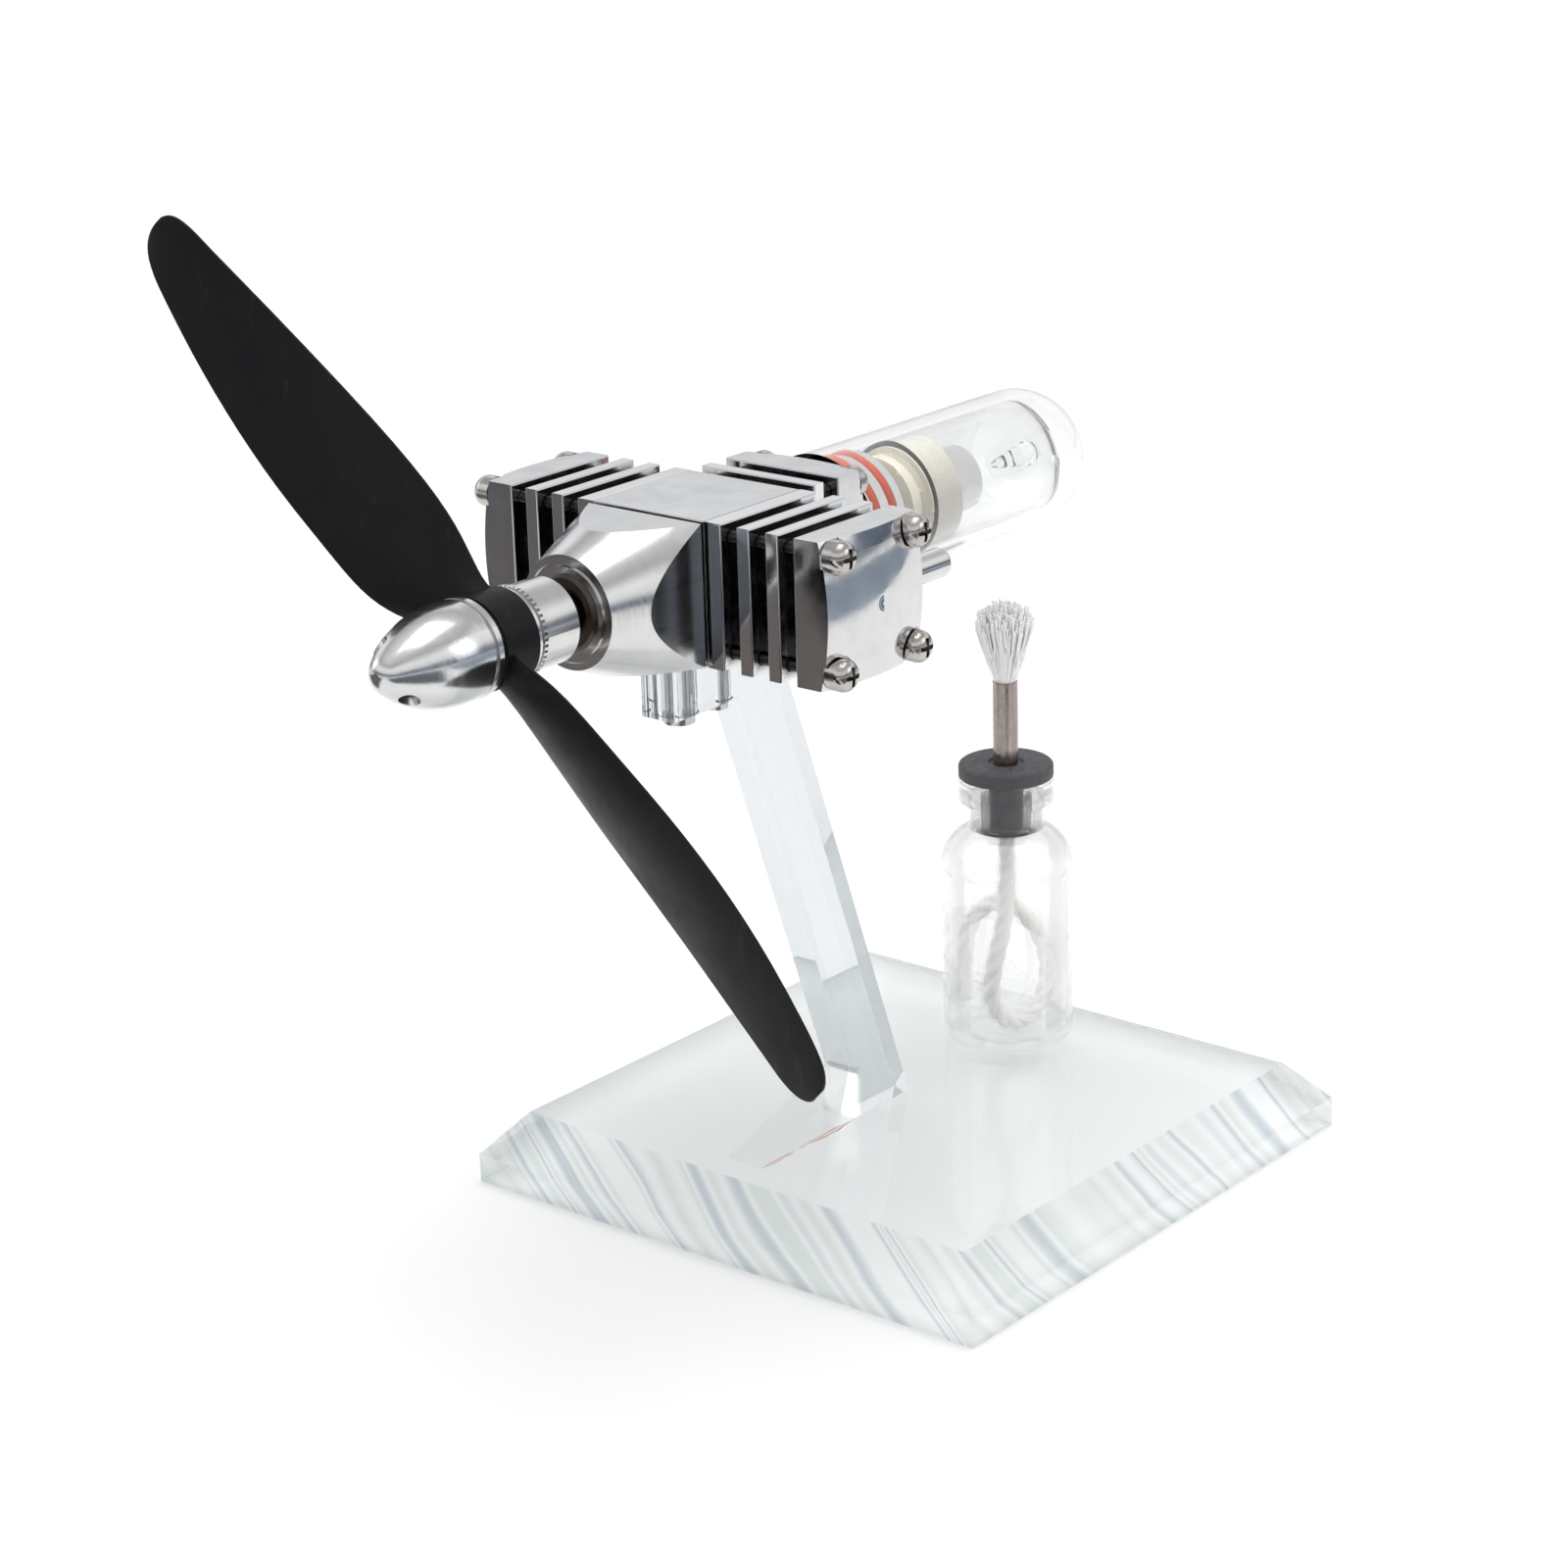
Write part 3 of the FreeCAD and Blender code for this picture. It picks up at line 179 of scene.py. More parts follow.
def make_flag(name, low, high, left_colour, right_colour):
    """A card just above the table that shows only in blurred reflections, as the metal's are."""
    mesh = bpy.data.meshes.new(name)
    corners = [(low[0], low[1]), (high[0], low[1]), (high[0], high[1]), (low[0], high[1])]
    mesh.from_pydata([(across, along, FLAG_HEIGHT) for across, along in corners], [], [(0, 1, 2, 3)])
    card = bpy.data.objects.new(name, mesh)
    bpy.context.scene.collection.objects.link(card)
    card.visible_camera = False
    card.visible_diffuse = False
    card.visible_shadow = False
    card.visible_transmission = False
    finish = Finish(name, left_colour, 0.9)
    middle_x = (low[0] + high[0]) / 2
    across = finish.spread(finish.place("X"), 0.0, 0.8, low[0] * 0.3 + middle_x * 0.7, high[0])
    cloud = finish.math("MULTIPLY", finish.noise(6, 2), 0.3)
    finish.link(finish.blend(finish.math("ADD", across, cloud), left_colour, right_colour), "Base Color")
    finish.mix_with_clear("Is Singular Ray", (1, 1, 1))
    mesh.materials.append(finish.material)


FLOOR_RADII = (0.6, 3.0)
FLOOR_SIDES = 48


def make_floor():
    """A plain white table top, a hair up into the base so that the glass shows it from inside."""
    mesh = bpy.data.meshes.new("floor")
    builder = bmesh.new()
    for radius in FLOOR_RADII:
        for step in range(FLOOR_SIDES):
            angle = 2 * math.pi * step / FLOOR_SIDES
            builder.verts.new((radius * math.cos(angle), radius * math.sin(angle), FLOOR_Z))
    builder.verts.ensure_lookup_table()
    builder.faces.new([builder.verts[step] for step in range(FLOOR_SIDES)])
    for step in range(FLOOR_SIDES):
        following = (step + 1) % FLOOR_SIDES
        builder.faces.new([builder.verts[step], builder.verts[FLOOR_SIDES + step],
                           builder.verts[FLOOR_SIDES + following], builder.verts[following]])
    builder.to_mesh(mesh)
    builder.free()
    floor = bpy.data.objects.new("floor", mesh)
    bpy.context.scene.collection.objects.link(floor)
    mesh.materials.append(floor_finish())


# ---------------------------------------------------------------- node helpers

def fill_ramp(ramp, stops):
    elements = ramp.color_ramp.elements
    while len(elements) < len(stops):
        elements.new(0.5)
    for element, (place, colour) in zip(elements, stops):
        element.position = place
        element.color = (*colour, 1)


def add_math(nodes, links, operation, *inputs):
    """A maths node whose inputs are numbers or the outputs of other nodes."""
    node = nodes.new("ShaderNodeMath")
    node.operation = operation
    for index, value in enumerate(inputs):
        if isinstance(value, (int, float)):
            node.inputs[index].default_value = value
        else:
            links.new(value, node.inputs[index])
    return node.outputs[0]


class Finish:
    """One material: a Principled shader with a few procedural helpers round it."""

    def __init__(self, name, colour, roughness=0.5, metallic=0.0, **sockets):
        self.material = bpy.data.materials.new(name)
        self.material.use_nodes = True
        self.nodes = self.material.node_tree.nodes
        self.links = self.material.node_tree.links
        self.shader = self.nodes["Principled BSDF"]
        self.output = self.nodes["Material Output"]
        self.set("Base Color", (*colour, 1))
        self.set("Roughness", roughness)
        self.set("Metallic", metallic)
        for socket, value in sockets.items():
            self.set(socket.replace("_", " "), value)
        self.coords = self.nodes.new("ShaderNodeTexCoord").outputs["Object"]
        self.height = None

    def set(self, socket, value):
        self.shader.inputs[socket].default_value = value

    def link(self, source, socket):
        self.links.new(source, self.shader.inputs[socket])

    def math(self, operation, *inputs):
        return add_math(self.nodes, self.links, operation, *inputs)

    def place(self, axis):
        """The piece's own coordinate along one axis."""
        split = self.nodes.new("ShaderNodeSeparateXYZ")
        self.links.new(self.coords, split.inputs[0])
        return split.outputs[axis]

    def stretched(self, scale):
        """The object's own coordinates, multiplied by a different amount along each axis."""
        node = self.nodes.new("ShaderNodeMapping")
        node.inputs["Scale"].default_value = scale
        self.links.new(self.coords, node.inputs["Vector"])
        return node.outputs[0]

    def noise(self, scale, detail=3.0, roughness=0.5, vector=None):
        node = self.nodes.new("ShaderNodeTexNoise")
        node.inputs["Scale"].default_value = scale
        node.inputs["Detail"].default_value = detail
        node.inputs["Roughness"].default_value = roughness
        self.links.new(vector or self.coords, node.inputs["Vector"])
        return node.outputs["Fac"]

    def spread(self, source, low, high, start=0.3, end=0.7):
        node = self.nodes.new("ShaderNodeMapRange")
        node.inputs["From Min"].default_value = start
        node.inputs["From Max"].default_value = end
        node.inputs["To Min"].default_value = low
        node.inputs["To Max"].default_value = high
        self.links.new(source, node.inputs["Value"])
        return node.outputs[0]

    def blend(self, source, first, second):
        """A colour that runs from the first to the second as the source goes from 0 to 1."""
        return self.ramped(source, [(0.0, first), (1.0, second)])

    def ramped(self, source, stops):
        ramp = self.nodes.new("ShaderNodeValToRGB")
        fill_ramp(ramp, stops)
        self.links.new(source, ramp.inputs[0])
        return ramp.outputs[0]

    def farthest(self, first, second, first_centre, second_centre):
        """The larger of the distances from two middle planes: constant on a square outline."""
        reach = [self.math("ABSOLUTE", self.math("SUBTRACT", self.place(axis), centre))
                 for axis, centre in ((first, first_centre), (second, second_centre))]
        return self.math("MAXIMUM", *reach)

    def bump(self, source, distance, strength=1.0):
        node = self.nodes.new("ShaderNodeBump")
        node.inputs["Distance"].default_value = distance
        node.inputs["Strength"].default_value = strength
        self.links.new(source, node.inputs["Height"])
        if self.height is not None:
            self.links.new(self.height, node.inputs["Normal"])
        self.height = node.outputs[0]
        self.link(self.height, "Normal")

    def rings(self, x, z, pitch):
        """Noise that changes only with the distance from a line along Y: marks of turning."""
        across = self.math("SUBTRACT", self.place("X"), x)
        up = self.math("SUBTRACT", self.place("Z"), z)
        squares = self.math("ADD", self.math("MULTIPLY", across, across), self.math("MULTIPLY", up, up))
        radius = self.math("SQRT", squares)
        node = self.nodes.new("ShaderNodeTexNoise")
        node.noise_dimensions = "1D"
        node.inputs["Scale"].default_value = 1 / pitch
        node.inputs["Detail"].default_value = 2.0
        self.links.new(radius, node.inputs["W"])
        return node.outputs["Fac"]

    def leaning_stripes(self):
        """Nearly straight bands of uneven width that lean over on every bevel of the base: the pattern of
        its painted reflections.
        """
        along = self.math("ADD", self.place("X"), self.place("Y"))
        wander = self.math("MULTIPLY", self.noise(50, 1), 0.004)
        lean = self.math("MULTIPLY_ADD", self.place("Z"), 1.1, wander)
        node = self.nodes.new("ShaderNodeTexNoise")
        node.noise_dimensions = "1D"
        node.inputs["Scale"].default_value = 75
        node.inputs["Detail"].default_value = 1.4
        self.links.new(self.math("ADD", along, lean), node.inputs["W"])
        return node.outputs["Fac"]

    def let_light_through(self, tint):
        """Clear pieces throw a pale shadow: a shadow ray passes straight through, tinted."""
        self.mix_with_clear("Is Shadow Ray", tint)

    def mix_with_clear(self, kind_of_ray, tint):
        """One kind of ray passes straight through the surface, tinted."""
        path = self.nodes.new("ShaderNodeLightPath")
        clear = self.nodes.new("ShaderNodeBsdfTransparent")
        clear.inputs["Color"].default_value = (*tint, 1)
        mix = self.nodes.new("ShaderNodeMixShader")
        self.links.new(path.outputs[kind_of_ray], mix.inputs["Fac"])
        self.links.new(self.shader.outputs[0], mix.inputs[1])
        self.links.new(clear.outputs[0], mix.inputs[2])
        self.links.new(mix.outputs[0], self.output.inputs["Surface"])


# ---------------------------------------------------------------- finishes

def floor_finish():
    finish = Finish("floor_white", (0.86, 0.86, 0.86), 0.75)
    mottle = finish.noise(14, 2)
    finish.link(finish.blend(mottle, (0.855, 0.855, 0.855), (0.865, 0.865, 0.865)), "Base Color")
    return finish.material


def polished_metal(name, colour, roughness, scratch_scale=(900, 60, 900), depth=0.00001):
    """Bright metal: fine scratches one way, hand marks, and a cloudier film here and there."""
    finish = Finish(name, colour, roughness, 1.0)
    film = finish.noise(260, 4, 0.6)
    finish.link(finish.spread(film, roughness * 0.6, roughness * 1.9), "Roughness")
    dull = tuple(channel * 0.82 for channel in colour)
    finish.link(finish.blend(finish.noise(420, 3), dull, colour), "Base Color")
    finish.bump(finish.noise(1.0, 3, 0.6, finish.stretched(scratch_scale)), depth, 0.6)
    finish.bump(finish.noise(90, 1), 0.0002, 0.25)
    return finish.material


def screw_steel(name, axis, from_depth):
    """Bright screw heads on shanks darkened with painted shade between the fins."""
    bright, shank_shade = (0.56, 0.53, 0.50), (0.05, 0.045, 0.04)
    finish = Finish(name, bright, 0.16, 1.0)
    reach = finish.place(axis)
    if axis == "X":
        reach = finish.math("ABSOLUTE", finish.math("SUBTRACT", reach, AXIS_X))
    # Painted shade: below the head, on the shank between the fins, the colour drops to near black.
    head = finish.math("GREATER_THAN", reach, from_depth)
    film = finish.spread(finish.noise(700, 4, 0.6), 0.75, 1.0)
    finish.link(finish.blend(finish.math("MULTIPLY", head, film), shank_shade, bright), "Base Color")
    finish.link(finish.spread(finish.noise(500, 3), 0.10, 0.28), "Roughness")
    finish.bump(finish.noise(1200, 3), 0.00001, 0.5)
    return finish.material


def finned_metal(name, bright, across, centre, half):
    """Polished outside, with painted shade that darkens a face the deeper it lies between the fins."""
    finish = Finish(name, bright, 0.10, 1.0)
    reach = finish.farthest(across, "Z", centre, AXIS_Z)
    # Painted shade: a mask that runs from 0 at the outside to 1 deep between the fins.
    between_fins_shade = finish.spread(reach, 1.0, 0.0, half - 1.4 * MM, half - 0.15 * MM)
    film = finish.noise(420, 3)
    painted_fin_shade = finish.math("MULTIPLY", between_fins_shade, finish.spread(film, 0.80, 1.0))
    haze = finish.math("MULTIPLY", film, 0.12)
    # The colour of the painted shade deepest between the fins; the same mask also makes those faces rougher.
    dark = tuple(channel * 0.05 for channel in bright)
    finish.link(finish.ramped(finish.math("ADD", painted_fin_shade, haze), [(0.0, bright), (0.12, bright), (1.0, dark)]),
                "Base Color")
    finish.link(finish.spread(painted_fin_shade, 0.09, 0.42, 0.0, 1.0), "Roughness")
    finish.bump(finish.noise(1.0, 3, 0.6, finish.stretched((900, 60, 900))), 0.00001, 0.6)
    finish.bump(finish.noise(90, 1), 0.0002, 0.25)
    return finish.material


def turned_metal(name, colour, roughness, pitch, depth):
    """Metal turned in a lathe about the engine's shaft."""
    finish = Finish(name, colour, roughness, 1.0)
    marks = finish.rings(AXIS_X, AXIS_Z, pitch)
    finish.link(finish.spread(marks, roughness * 0.85, roughness * 1.2), "Roughness")
    dull = tuple(channel * 0.80 for channel in colour)
    finish.link(finish.blend(finish.noise(320, 3), dull, colour), "Base Color")
    finish.bump(marks, depth, 0.8)
    finish.bump(finish.noise(1500, 3), 0.00001, 0.5)
    return finish.material


def drawn_glass():
    """Clear tube glass with the faintest ripple."""
    finish = Finish("drawn_glass", (0.965, 0.97, 0.97), 0.0, IOR=1.47, Transmission_Weight=1.0)
    finish.bump(finish.noise(70, 1), 0.00002, 0.35)
    finish.let_light_through((0.97, 0.975, 0.975))
    return finish.material


def vial_glass():
    """Thin moulded glass.  Where its thick foot touches the base it is clearer still."""
    finish = Finish("vial_glass", (0.94, 0.945, 0.945), 0.0, IOR=1.40, Transmission_Weight=1.0)
    body = finish.spread(finish.place("Z"), 0.22, 0.62, BASE_TOP + 0.8 * MM, BASE_TOP + 2.5 * MM)
    finish.link(body, "Alpha")
    finish.bump(finish.noise(70, 1), 0.00008, 0.35)
    finish.let_light_through((0.96, 0.965, 0.965))
    return finish.material


def clear_acrylic():
    """Polished clear sheet.  Its wedge foot, glued down flat, hardly shows."""
    finish = Finish("clear_acrylic", (0.74, 0.77, 0.79), 0.0, IOR=1.49, Transmission_Weight=1.0)
    low = finish.math("LESS_THAN", finish.place("Z"), BASE_TOP + FOOT_HEIGHT)
    toe = finish.spread(finish.place("Y"), 1.0, 0.0, LEG_FRONT - 1 * MM, LEG_FRONT + 1 * MM)
    foot = finish.math("MULTIPLY", low, toe)
    finish.link(finish.math("MULTIPLY_ADD", foot, -0.86, 1.0), "Alpha")
    finish.bump(finish.noise(70, 1), 0.00001, 0.35)
    finish.let_light_through((0.96, 0.96, 0.965))
    return finish.material


def crystal_glass():
    """Thick cut glass, clear on top; on its bevels pale streaks of painted reflection are set in the colour.
    """
    plain, white = (0.955, 0.975, 0.968), (1.0, 1.0, 1.0)
    # The colours of the painted reflections on the bevels.
    blue, green = (0.40, 0.48, 0.54), (0.68, 0.77, 0.74)
    finish = Finish("crystal_glass", plain, 0.0, IOR=1.52, Transmission_Weight=1.0)
    reach = finish.farthest("X", "Y", 0.0, 0.0)
    bevel = finish.math("GREATER_THAN", reach, BASE_EDGE - BEVEL_WIDTH)
    painted_reflection_bands = finish.leaning_stripes()
    streaks = finish.math("MULTIPLY", bevel, painted_reflection_bands)
    # Painted reflections: white, blue and green streaks on the bevels, in the colour and in the bump.
    finish.link(finish.ramped(streaks, [(0.0, plain), (0.34, white), (0.39, blue), (0.42, white),
                                        (0.48, green), (0.51, white), (0.55, blue), (0.58, white),
                                        (0.62, green), (0.66, white)]), "Base Color")
    finish.bump(streaks, 0.00015, 0.6)
    finish.bump(finish.noise(70, 1), 0.000005, 0.35)
    finish.let_light_through((0.50, 0.52, 0.515))
    return finish.material


def black_plastic():
    """Satin moulded nylon with a faint flow pattern and a few pale scuffs."""
    finish = Finish("black_nylon", (0.006, 0.006, 0.007), 0.42)
    finish.set("Specular IOR Level", 0.14)
    finish.link(finish.spread(finish.noise(160, 4, 0.6), 0.34, 0.52), "Roughness")
    scuffs = finish.spread(finish.noise(1.0, 5, 0.7, finish.stretched((500, 500, 60))), 0.0, 1.0, 0.60, 0.80)
    finish.link(finish.blend(scuffs, (0.006, 0.006, 0.007), (0.022, 0.022, 0.024)), "Base Color")
    finish.bump(finish.noise(2600, 2), 0.00001, 0.5)
    finish.bump(finish.noise(60, 2), 0.0002, 0.2)
    return finish.material


def grey_rubber():
    finish = Finish("grey_rubber", (0.055, 0.056, 0.060), 0.62)
    finish.link(finish.blend(finish.noise(700, 4, 0.6), (0.045, 0.046, 0.050), (0.085, 0.086, 0.092)),
                "Base Color")
    finish.link(finish.spread(finish.noise(1500, 2), 0.5, 0.75), "Roughness")
    finish.bump(finish.noise(2400, 3), 0.00003, 0.6)
    return finish.material


def red_silicone():
    finish = Finish("red_silicone", (0.50, 0.05, 0.010), 0.45)
    finish.set("Specular IOR Level", 0.2)
    finish.set("Subsurface Weight", 0.1)
    finish.set("Subsurface Radius", (0.002, 0.0006, 0.0003))
    finish.link(finish.blend(finish.noise(900, 3), (0.42, 0.035, 0.006), (0.58, 0.070, 0.014)), "Base Color")
    finish.bump(finish.noise(3000, 2), 0.00001, 0.5)
    return finish.material


def waxy_plastic(name, dark, pale, roughness=0.4, subsurface=0.4):
    """Turned PTFE and fibre: soft, waxy, with faint rings from the lathe."""
    finish = Finish(name, pale, roughness)
    finish.set("Subsurface Weight", subsurface)
    finish.set("Subsurface Radius", (0.002, 0.0017, 0.0012))
    marks = finish.rings(AXIS_X, AXIS_Z, 0.00025)
    finish.link(finish.blend(marks, dark, pale), "Base Color")
    finish.link(finish.spread(finish.noise(600, 3), roughness * 0.8, roughness * 1.3), "Roughness")
    finish.bump(marks, 0.00002, 0.4)
    return finish.material


def clear_resin():
    """A cloudy, yellowish moulding that light goes part of the way through."""
    finish = Finish("clear_resin", (0.85, 0.80, 0.69), 0.25, IOR=1.45, Transmission_Weight=0.25)
    finish.link(finish.spread(finish.noise(300, 3), 0.15, 0.34), "Roughness")
    finish.link(finish.blend(finish.noise(180, 3), (0.80, 0.74, 0.62), (0.90, 0.86, 0.76)), "Base Color")
    finish.bump(finish.rings(AXIS_X, AXIS_Z, 0.0004), 0.00002, 0.5)
    return finish.material


def heat_tinted_steel():
    """A steel tube browned by the flame, with streaks along it."""
    finish = Finish("heat_tinted_steel", (0.34, 0.28, 0.25), 0.22, 1.0)
    streaks = finish.noise(1.0, 4, 0.6, finish.stretched((1200, 1200, 120)))
    finish.link(finish.blend(streaks, (0.20, 0.16, 0.14), (0.48, 0.42, 0.39)), "Base Color")
    finish.link(finish.spread(finish.noise(900, 3), 0.16, 0.32), "Roughness")
    finish.bump(streaks, 0.00003, 0.5)
    return finish.material


def cotton(name, dark, pale, scale=2200):
    finish = Finish(name, pale, 0.85)
    finish.set("Sheen Weight", 0.4)
    finish.set("Subsurface Weight", 0.15)
    finish.set("Subsurface Radius", (0.001, 0.001, 0.001))
    fibres = finish.noise(scale, 5, 0.7)
    finish.link(finish.blend(fibres, dark, pale), "Base Color")
    finish.bump(fibres, 0.00005, 0.7)
    return finish.material


def glue():
    """Cured glue: amber, clear in the middle and browner where it gathered."""
    finish = Finish("amber_glue", (0.55, 0.30, 0.16), 0.2, IOR=1.5, Transmission_Weight=0.55)
    finish.link(finish.blend(finish.noise(260, 4), (0.50, 0.22, 0.10), (0.80, 0.62, 0.45)), "Base Color")
    finish.bump(finish.noise(900, 3), 0.00004, 0.6)
    finish.let_light_through((0.9, 0.8, 0.7))
    return finish.material


def paint_nodes():
    """Give every CAD node its finish; each finish is made once and shared."""
    bright = (0.72, 0.72, 0.725)
    half = (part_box("crankcase")[1].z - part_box("crankcase")[0].z) / 2
    aluminium = polished_metal("polished_aluminium", bright, 0.10)
    fins_across = finned_metal("fins_across", bright, "Y", middle("crankcase").y, half)
    fins_along = finned_metal("fins_along", bright, "X", AXIS_X, half)
    brushed = turned_metal("turned_aluminium", (0.74, 0.735, 0.73), 0.19, 0.00016, 0.0000012)
    steel = polished_metal("polished_steel", (0.60, 0.58, 0.56), 0.14, (300, 300, 300))
    cover_screws = screw_steel("cover_screw_steel", "X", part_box("cylinder_right")[1].x - AXIS_X)
    holder_screws = screw_steel("holder_screw_steel", "Y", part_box("rear_barrel")[1].y)
    bronze = turned_metal("dark_bronze", (0.10, 0.08, 0.065), 0.35, 0.0002, 0.00002)
    nut = turned_metal("bright_nut", (0.74, 0.74, 0.74), 0.19, 0.0002, 0.0000015)
    graphite = waxy_plastic("grey_graphite", (0.10, 0.10, 0.11), (0.19, 0.19, 0.20), 0.45, 0.0)
    cream = waxy_plastic("cream_ptfe", (0.66, 0.62, 0.52), (0.84, 0.81, 0.73))
    fibre = waxy_plastic("brown_fibre", (0.42, 0.24, 0.11), (0.66, 0.42, 0.22), 0.5, 0.0)
    finishes = {
        crystal_glass(): ["glass_base"],
        clear_acrylic(): ["acrylic_stand"],
        aluminium: ["crankcase", "cover_right", "cover_left", "tube_holder", "gas_port_plug"],
        fins_across: ["cylinder_right", "cylinder_left"],
        fins_along: ["rear_barrel"],
        brushed: ["nose_housing", "drive_washer", "hub_ring", "displacer_boss"],
        cover_screws: ["cover_screws_right", "cover_screws_left"],
        holder_screws: ["holder_screws"],
        steel: ["stand_screws", "displacer_rod", "displacer_cross_pin", "displacer_lever",
                "lever_pin", "crankshaft", "crank_web", "crank_pin", "yoke", "power_rod", "guide_rod",
                "spinner_washer", "shaft_collar"],
        bronze: ["front_bush", "rear_bush", "pin_bush", "slider_block", "guide_roller"],
        nut: ["spinner_nut"],
        black_plastic(): ["propeller"],
        red_silicone(): ["tube_seals"],
        drawn_glass(): ["hot_tube", "displacer_capsule"],
        cream: ["rod_gland"],
        clear_resin(): ["displacer_plug"],
        fibre: ["displacer_washer"],
        graphite: ["power_piston", "guide_piston"],
        vial_glass(): ["lamp_bottle"],
        grey_rubber(): ["stopper"],
        heat_tinted_steel(): ["wick_tube"],
    }
    for material, names in finishes.items():
        for name in names:
            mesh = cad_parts[name].data
            mesh.materials.clear()
            mesh.materials.append(material)


# ---------------------------------------------------------------- wick and tuft

WICK_DIAMETER = 2.4 * MM
LAY = 7.5 * MM
STRANDS = 3
# The route of the wick, as offsets from the bottle's axis (across, back) and heights above
# its foot: down the metal tube, then once round inside the bottle.
WICK_ROUTE = [
    (0.0, 0.0, 49.5),
    (0.0, 0.0, 25.6),
    (1.0, -1.2, 21.0),
    (1.4, -3.0, 16.0),
    (1.0, -4.9, 10.6),
    (1.0, -4.9, 5.8),
    (2.2, -2.3, 2.9),
    (3.5, 1.4, 3.4),
    (3.9, 4.1, 7.6),
    (2.7, 4.6, 13.0),
    (-0.6, 3.5, 17.6),
    (-3.9, 1.2, 18.2),
    (-5.5, -1.5, 15.4),
    (-5.3, -2.9, 10.4),
    (-4.3, -3.6, 5.4),
]


def curve_object(name, splines, radius):
    """Round threads: each spline is a list of points that a smooth NURBS line follows."""
    data = bpy.data.curves.new(name, "CURVE")
    data.dimensions = "3D"
    data.resolution_u = 6
    data.bevel_depth = radius
    data.bevel_resolution = 2
    data.use_fill_caps = True
    for points in splines:
        spline = data.splines.new("NURBS")
        spline.points.add(len(points) - 1)
        for target, point in zip(spline.points, points):
            target.co = (*point, 1)
        spline.order_u = 3
        spline.use_endpoint_u = True
    thing = bpy.data.objects.new(name, data)
    bpy.context.scene.collection.objects.link(thing)
    return thing


def line_points(points):
    """Points along the smooth line of a route, read from its NURBS spline."""
    line = curve_object("route", [points], 0.0)
    line.data.resolution_u = 10
    mesh = bpy.data.meshes.new_from_object(line)
    found = [vertex.co.copy() for vertex in mesh.vertices]
    bpy.data.objects.remove(line)
    bpy.data.meshes.remove(mesh)
    return found


def sideways_frames(points):
    """Two directions across the line at each point, carried along without twisting."""
    frames = []
    side = Vector((1, 0, 0))
    for index in range(len(points)):
        along = (points[min(index + 1, len(points) - 1)] - points[max(index - 1, 0)]).normalized()
        side = (side - along * side.dot(along)).normalized()
        frames.append((side.copy(), along.cross(side)))
    return frames


def as_mesh(thing, name):
    mesh = bpy.data.meshes.new_from_object(thing)
    mesh.name = name
    for polygon in mesh.polygons:
        polygon.use_smooth = True
    bpy.data.objects.remove(thing)
    solid = bpy.data.objects.new(name, mesh)
    bpy.context.scene.collection.objects.link(solid)
    return solid


def make_wick():
    """Three cotton strands laid up round the route."""
    foot = Vector((LAMP.x, LAMP.y, BASE_TOP))
    route = line_points([foot + Vector(point) * MM for point in WICK_ROUTE])
    frames = sideways_frames(route)
    strands = []
    thread = WICK_DIAMETER * 0.27
    offset = WICK_DIAMETER / 2 - thread
    for strand in range(STRANDS):
        points, travelled = [], 0.0
        for index, point in enumerate(route):
            if index:
                travelled += (point - route[index - 1]).length
            angle = 2 * math.pi * (travelled / LAY + strand / STRANDS)
            side, over = frames[index]
            points.append(point + (side * math.cos(angle) + over * math.sin(angle)) * offset)
        strands.append(points)
    rope = curve_object("rope_strands", strands, thread)
    rope.data.resolution_u = 3
    wick = as_mesh(rope, "wick")
    wick.data.materials.append(cotton("wick_cotton", (0.74, 0.72, 0.69), (0.95, 0.94, 0.92)))
    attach(wick, "lamp")
    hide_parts("wick_rope")
    return route


THREADS = 640
THREAD_RADIUS = 0.14 * MM
ROOT_RADIUS, ROOT_DEPTH = 1.05 * MM, 1.2 * MM


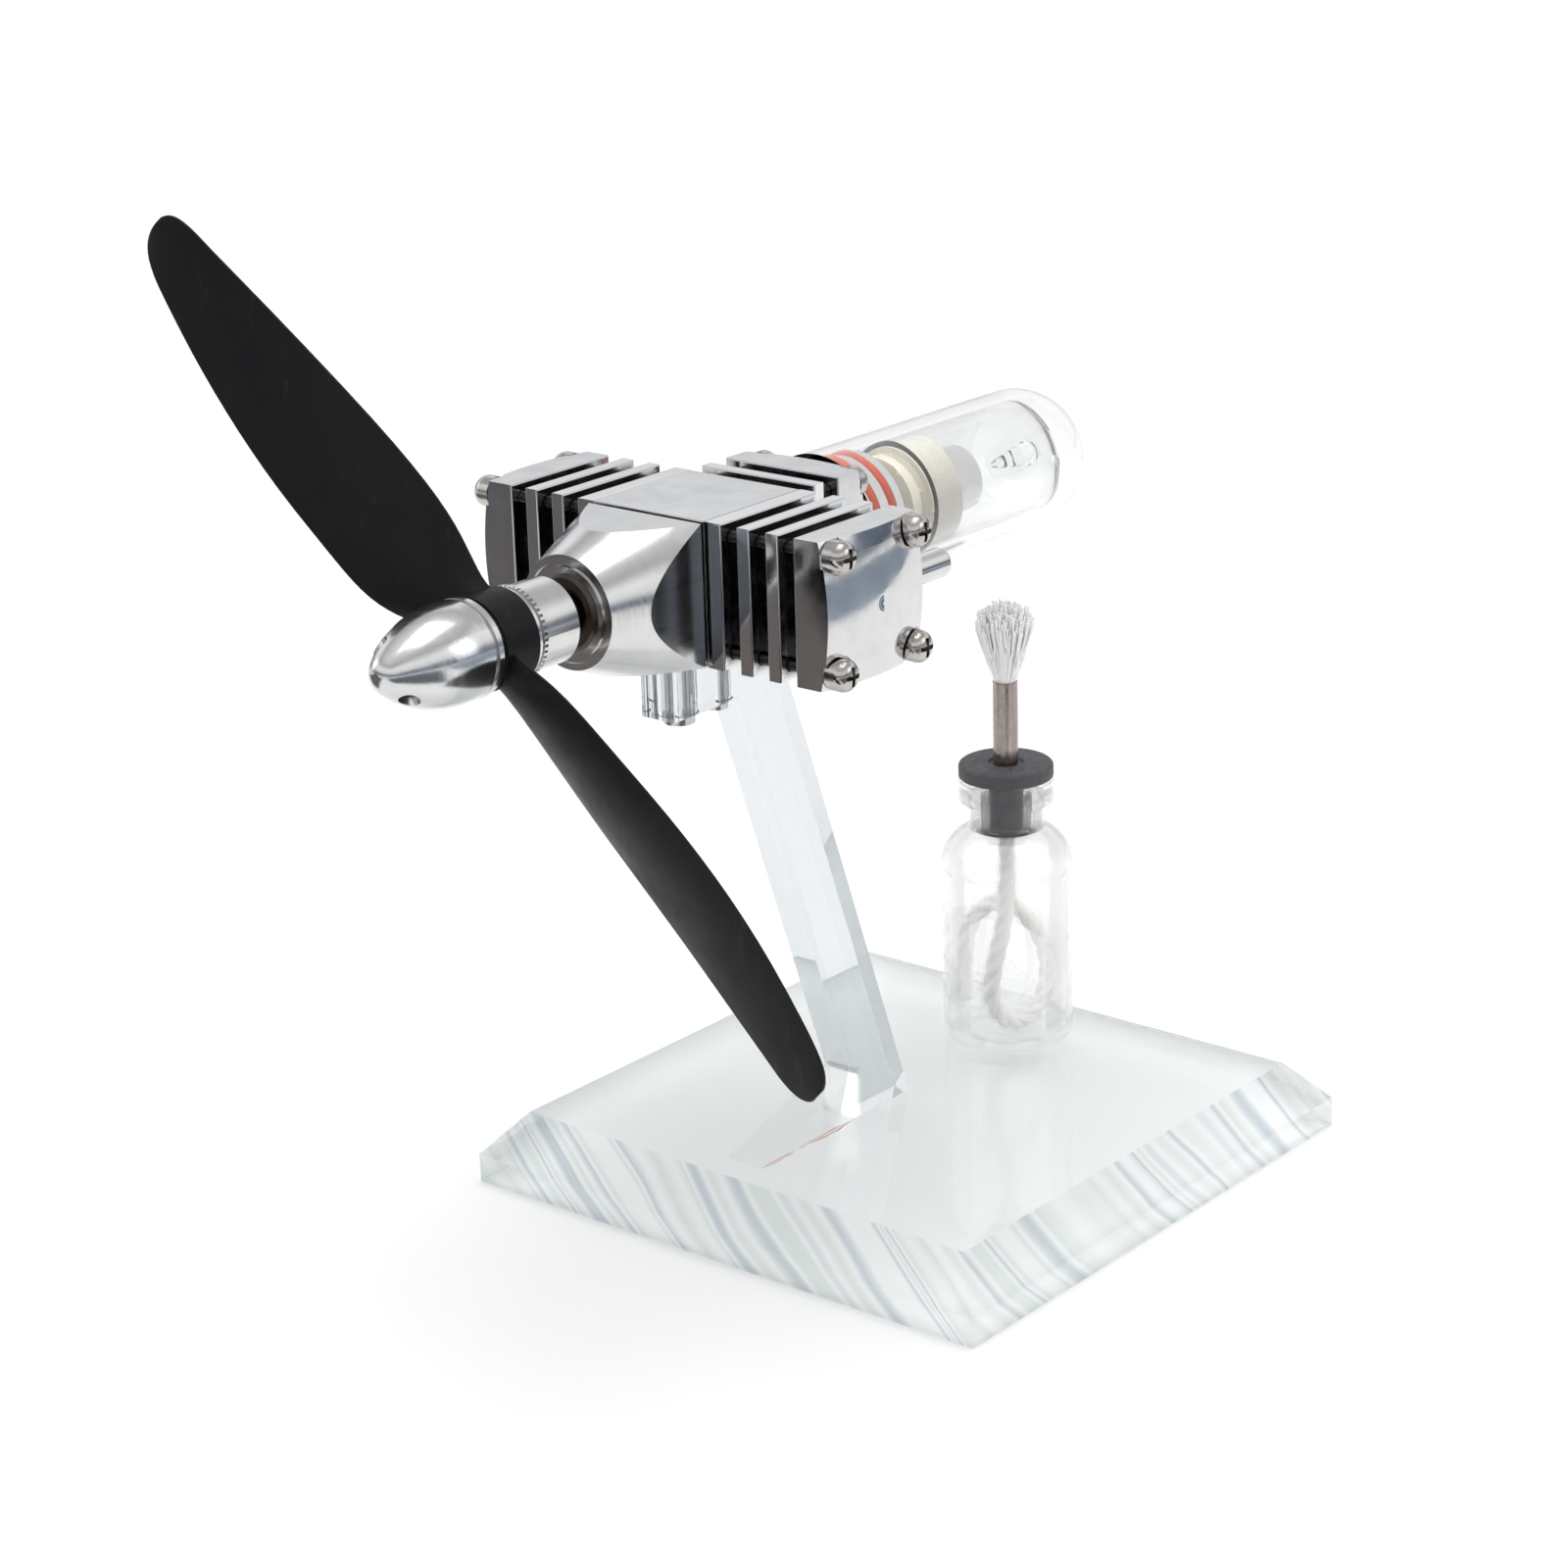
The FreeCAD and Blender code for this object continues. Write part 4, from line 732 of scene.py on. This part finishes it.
def make_tuft():
    """The frayed top of the wick: fine threads that fan out of the metal tube."""
    low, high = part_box("wick_tuft")
    tube_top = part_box("wick_tube")[1].z
    centre = Vector(((low.x + high.x) / 2, (low.y + high.y) / 2, tube_top))
    spread = (high.x - low.x) / 2
    height = high.z - tube_top
    splines = []
    for _ in range(THREADS):
        angle = random.uniform(0, 2 * math.pi)
        share = math.sqrt(random.random())
        out = Vector((math.cos(angle), math.sin(angle), 0))
        root = centre + out * (ROOT_RADIUS * share) - Vector((0, 0, ROOT_DEPTH))
        reach = spread * share * random.uniform(0.80, 0.98)
        top = height * random.uniform(0.74, 0.98) * (1 - 0.16 * share ** 2)
        bend = Vector((random.gauss(0, 0.25), random.gauss(0, 0.25), 0)) * MM
        points = [root,
                  root + Vector((0, 0, 1.8 * MM)) + out * reach * 0.10,
                  centre + out * (reach * 0.60) + Vector((0, 0, top * 0.40)) + bend,
                  centre + out * (reach * 0.88) + Vector((0, 0, top * 0.75)) - bend * 0.6,
                  centre + out * reach + Vector((0, 0, top))]
        splines.append(points)
    threads = curve_object("tuft_threads", splines, THREAD_RADIUS)
    threads.data.resolution_u = 3
    threads.data.bevel_resolution = 0
    tuft = as_mesh(threads, "tuft")
    tuft.data.materials.append(cotton("tuft_cotton", (0.95, 0.95, 0.94), (1.0, 1.0, 0.995), 900))
    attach(tuft, "lamp_top")
    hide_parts("wick_tuft")


# ---------------------------------------------------------------- glue line

GLUE_STEPS = 26
GLUE_WIDTH, GLUE_HEIGHT = 0.9 * MM, 0.35 * MM


def make_glue_line():
    """A thin uneven bead of glue along the right-hand edge of the stand's foot."""
    low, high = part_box("acrylic_stand")
    front = low.y + 0.30 * (high.y - low.y)
    rear = low.y + 0.74 * (high.y - low.y)
    mesh = bpy.data.meshes.new("glue_bead")
    builder = bmesh.new()
    rows = []
    for step in range(GLUE_STEPS + 1):
        share = step / GLUE_STEPS
        swell = math.sin(math.pi * share) ** 0.6 * (0.55 + 0.35 * math.sin(9 * share + 1)
                                                    + random.uniform(-0.12, 0.12))
        width = max(0.05, swell) * GLUE_WIDTH
        height = max(0.05, swell) * GLUE_HEIGHT
        along = front + (rear - front) * share
        spots = [(high.x + HAIR, BASE_TOP + HAIR), (high.x + HAIR, BASE_TOP + height),
                 (high.x + width * 0.55, BASE_TOP + height * 0.45), (high.x + width, BASE_TOP + HAIR)]
        rows.append([builder.verts.new((across, along, up)) for across, up in spots])
    for first, second in zip(rows, rows[1:]):
        for index in range(4):
            following = (index + 1) % 4
            builder.faces.new([first[index], first[following], second[following], second[index]])
    builder.faces.new(rows[0])
    builder.faces.new(list(reversed(rows[-1])))
    bmesh.ops.recalc_face_normals(builder, faces=builder.faces)
    builder.to_mesh(mesh)
    builder.free()
    for polygon in mesh.polygons:
        polygon.use_smooth = True
    bead = bpy.data.objects.new("glue_bead", mesh)
    bpy.context.scene.collection.objects.link(bead)
    mesh.materials.append(glue())
    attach(bead, "frame")


make_camera()
make_light()
make_floor()
for flag in FLAGS:
    make_flag(*flag)
paint_nodes()
make_wick()
make_tuft()
make_glue_line()
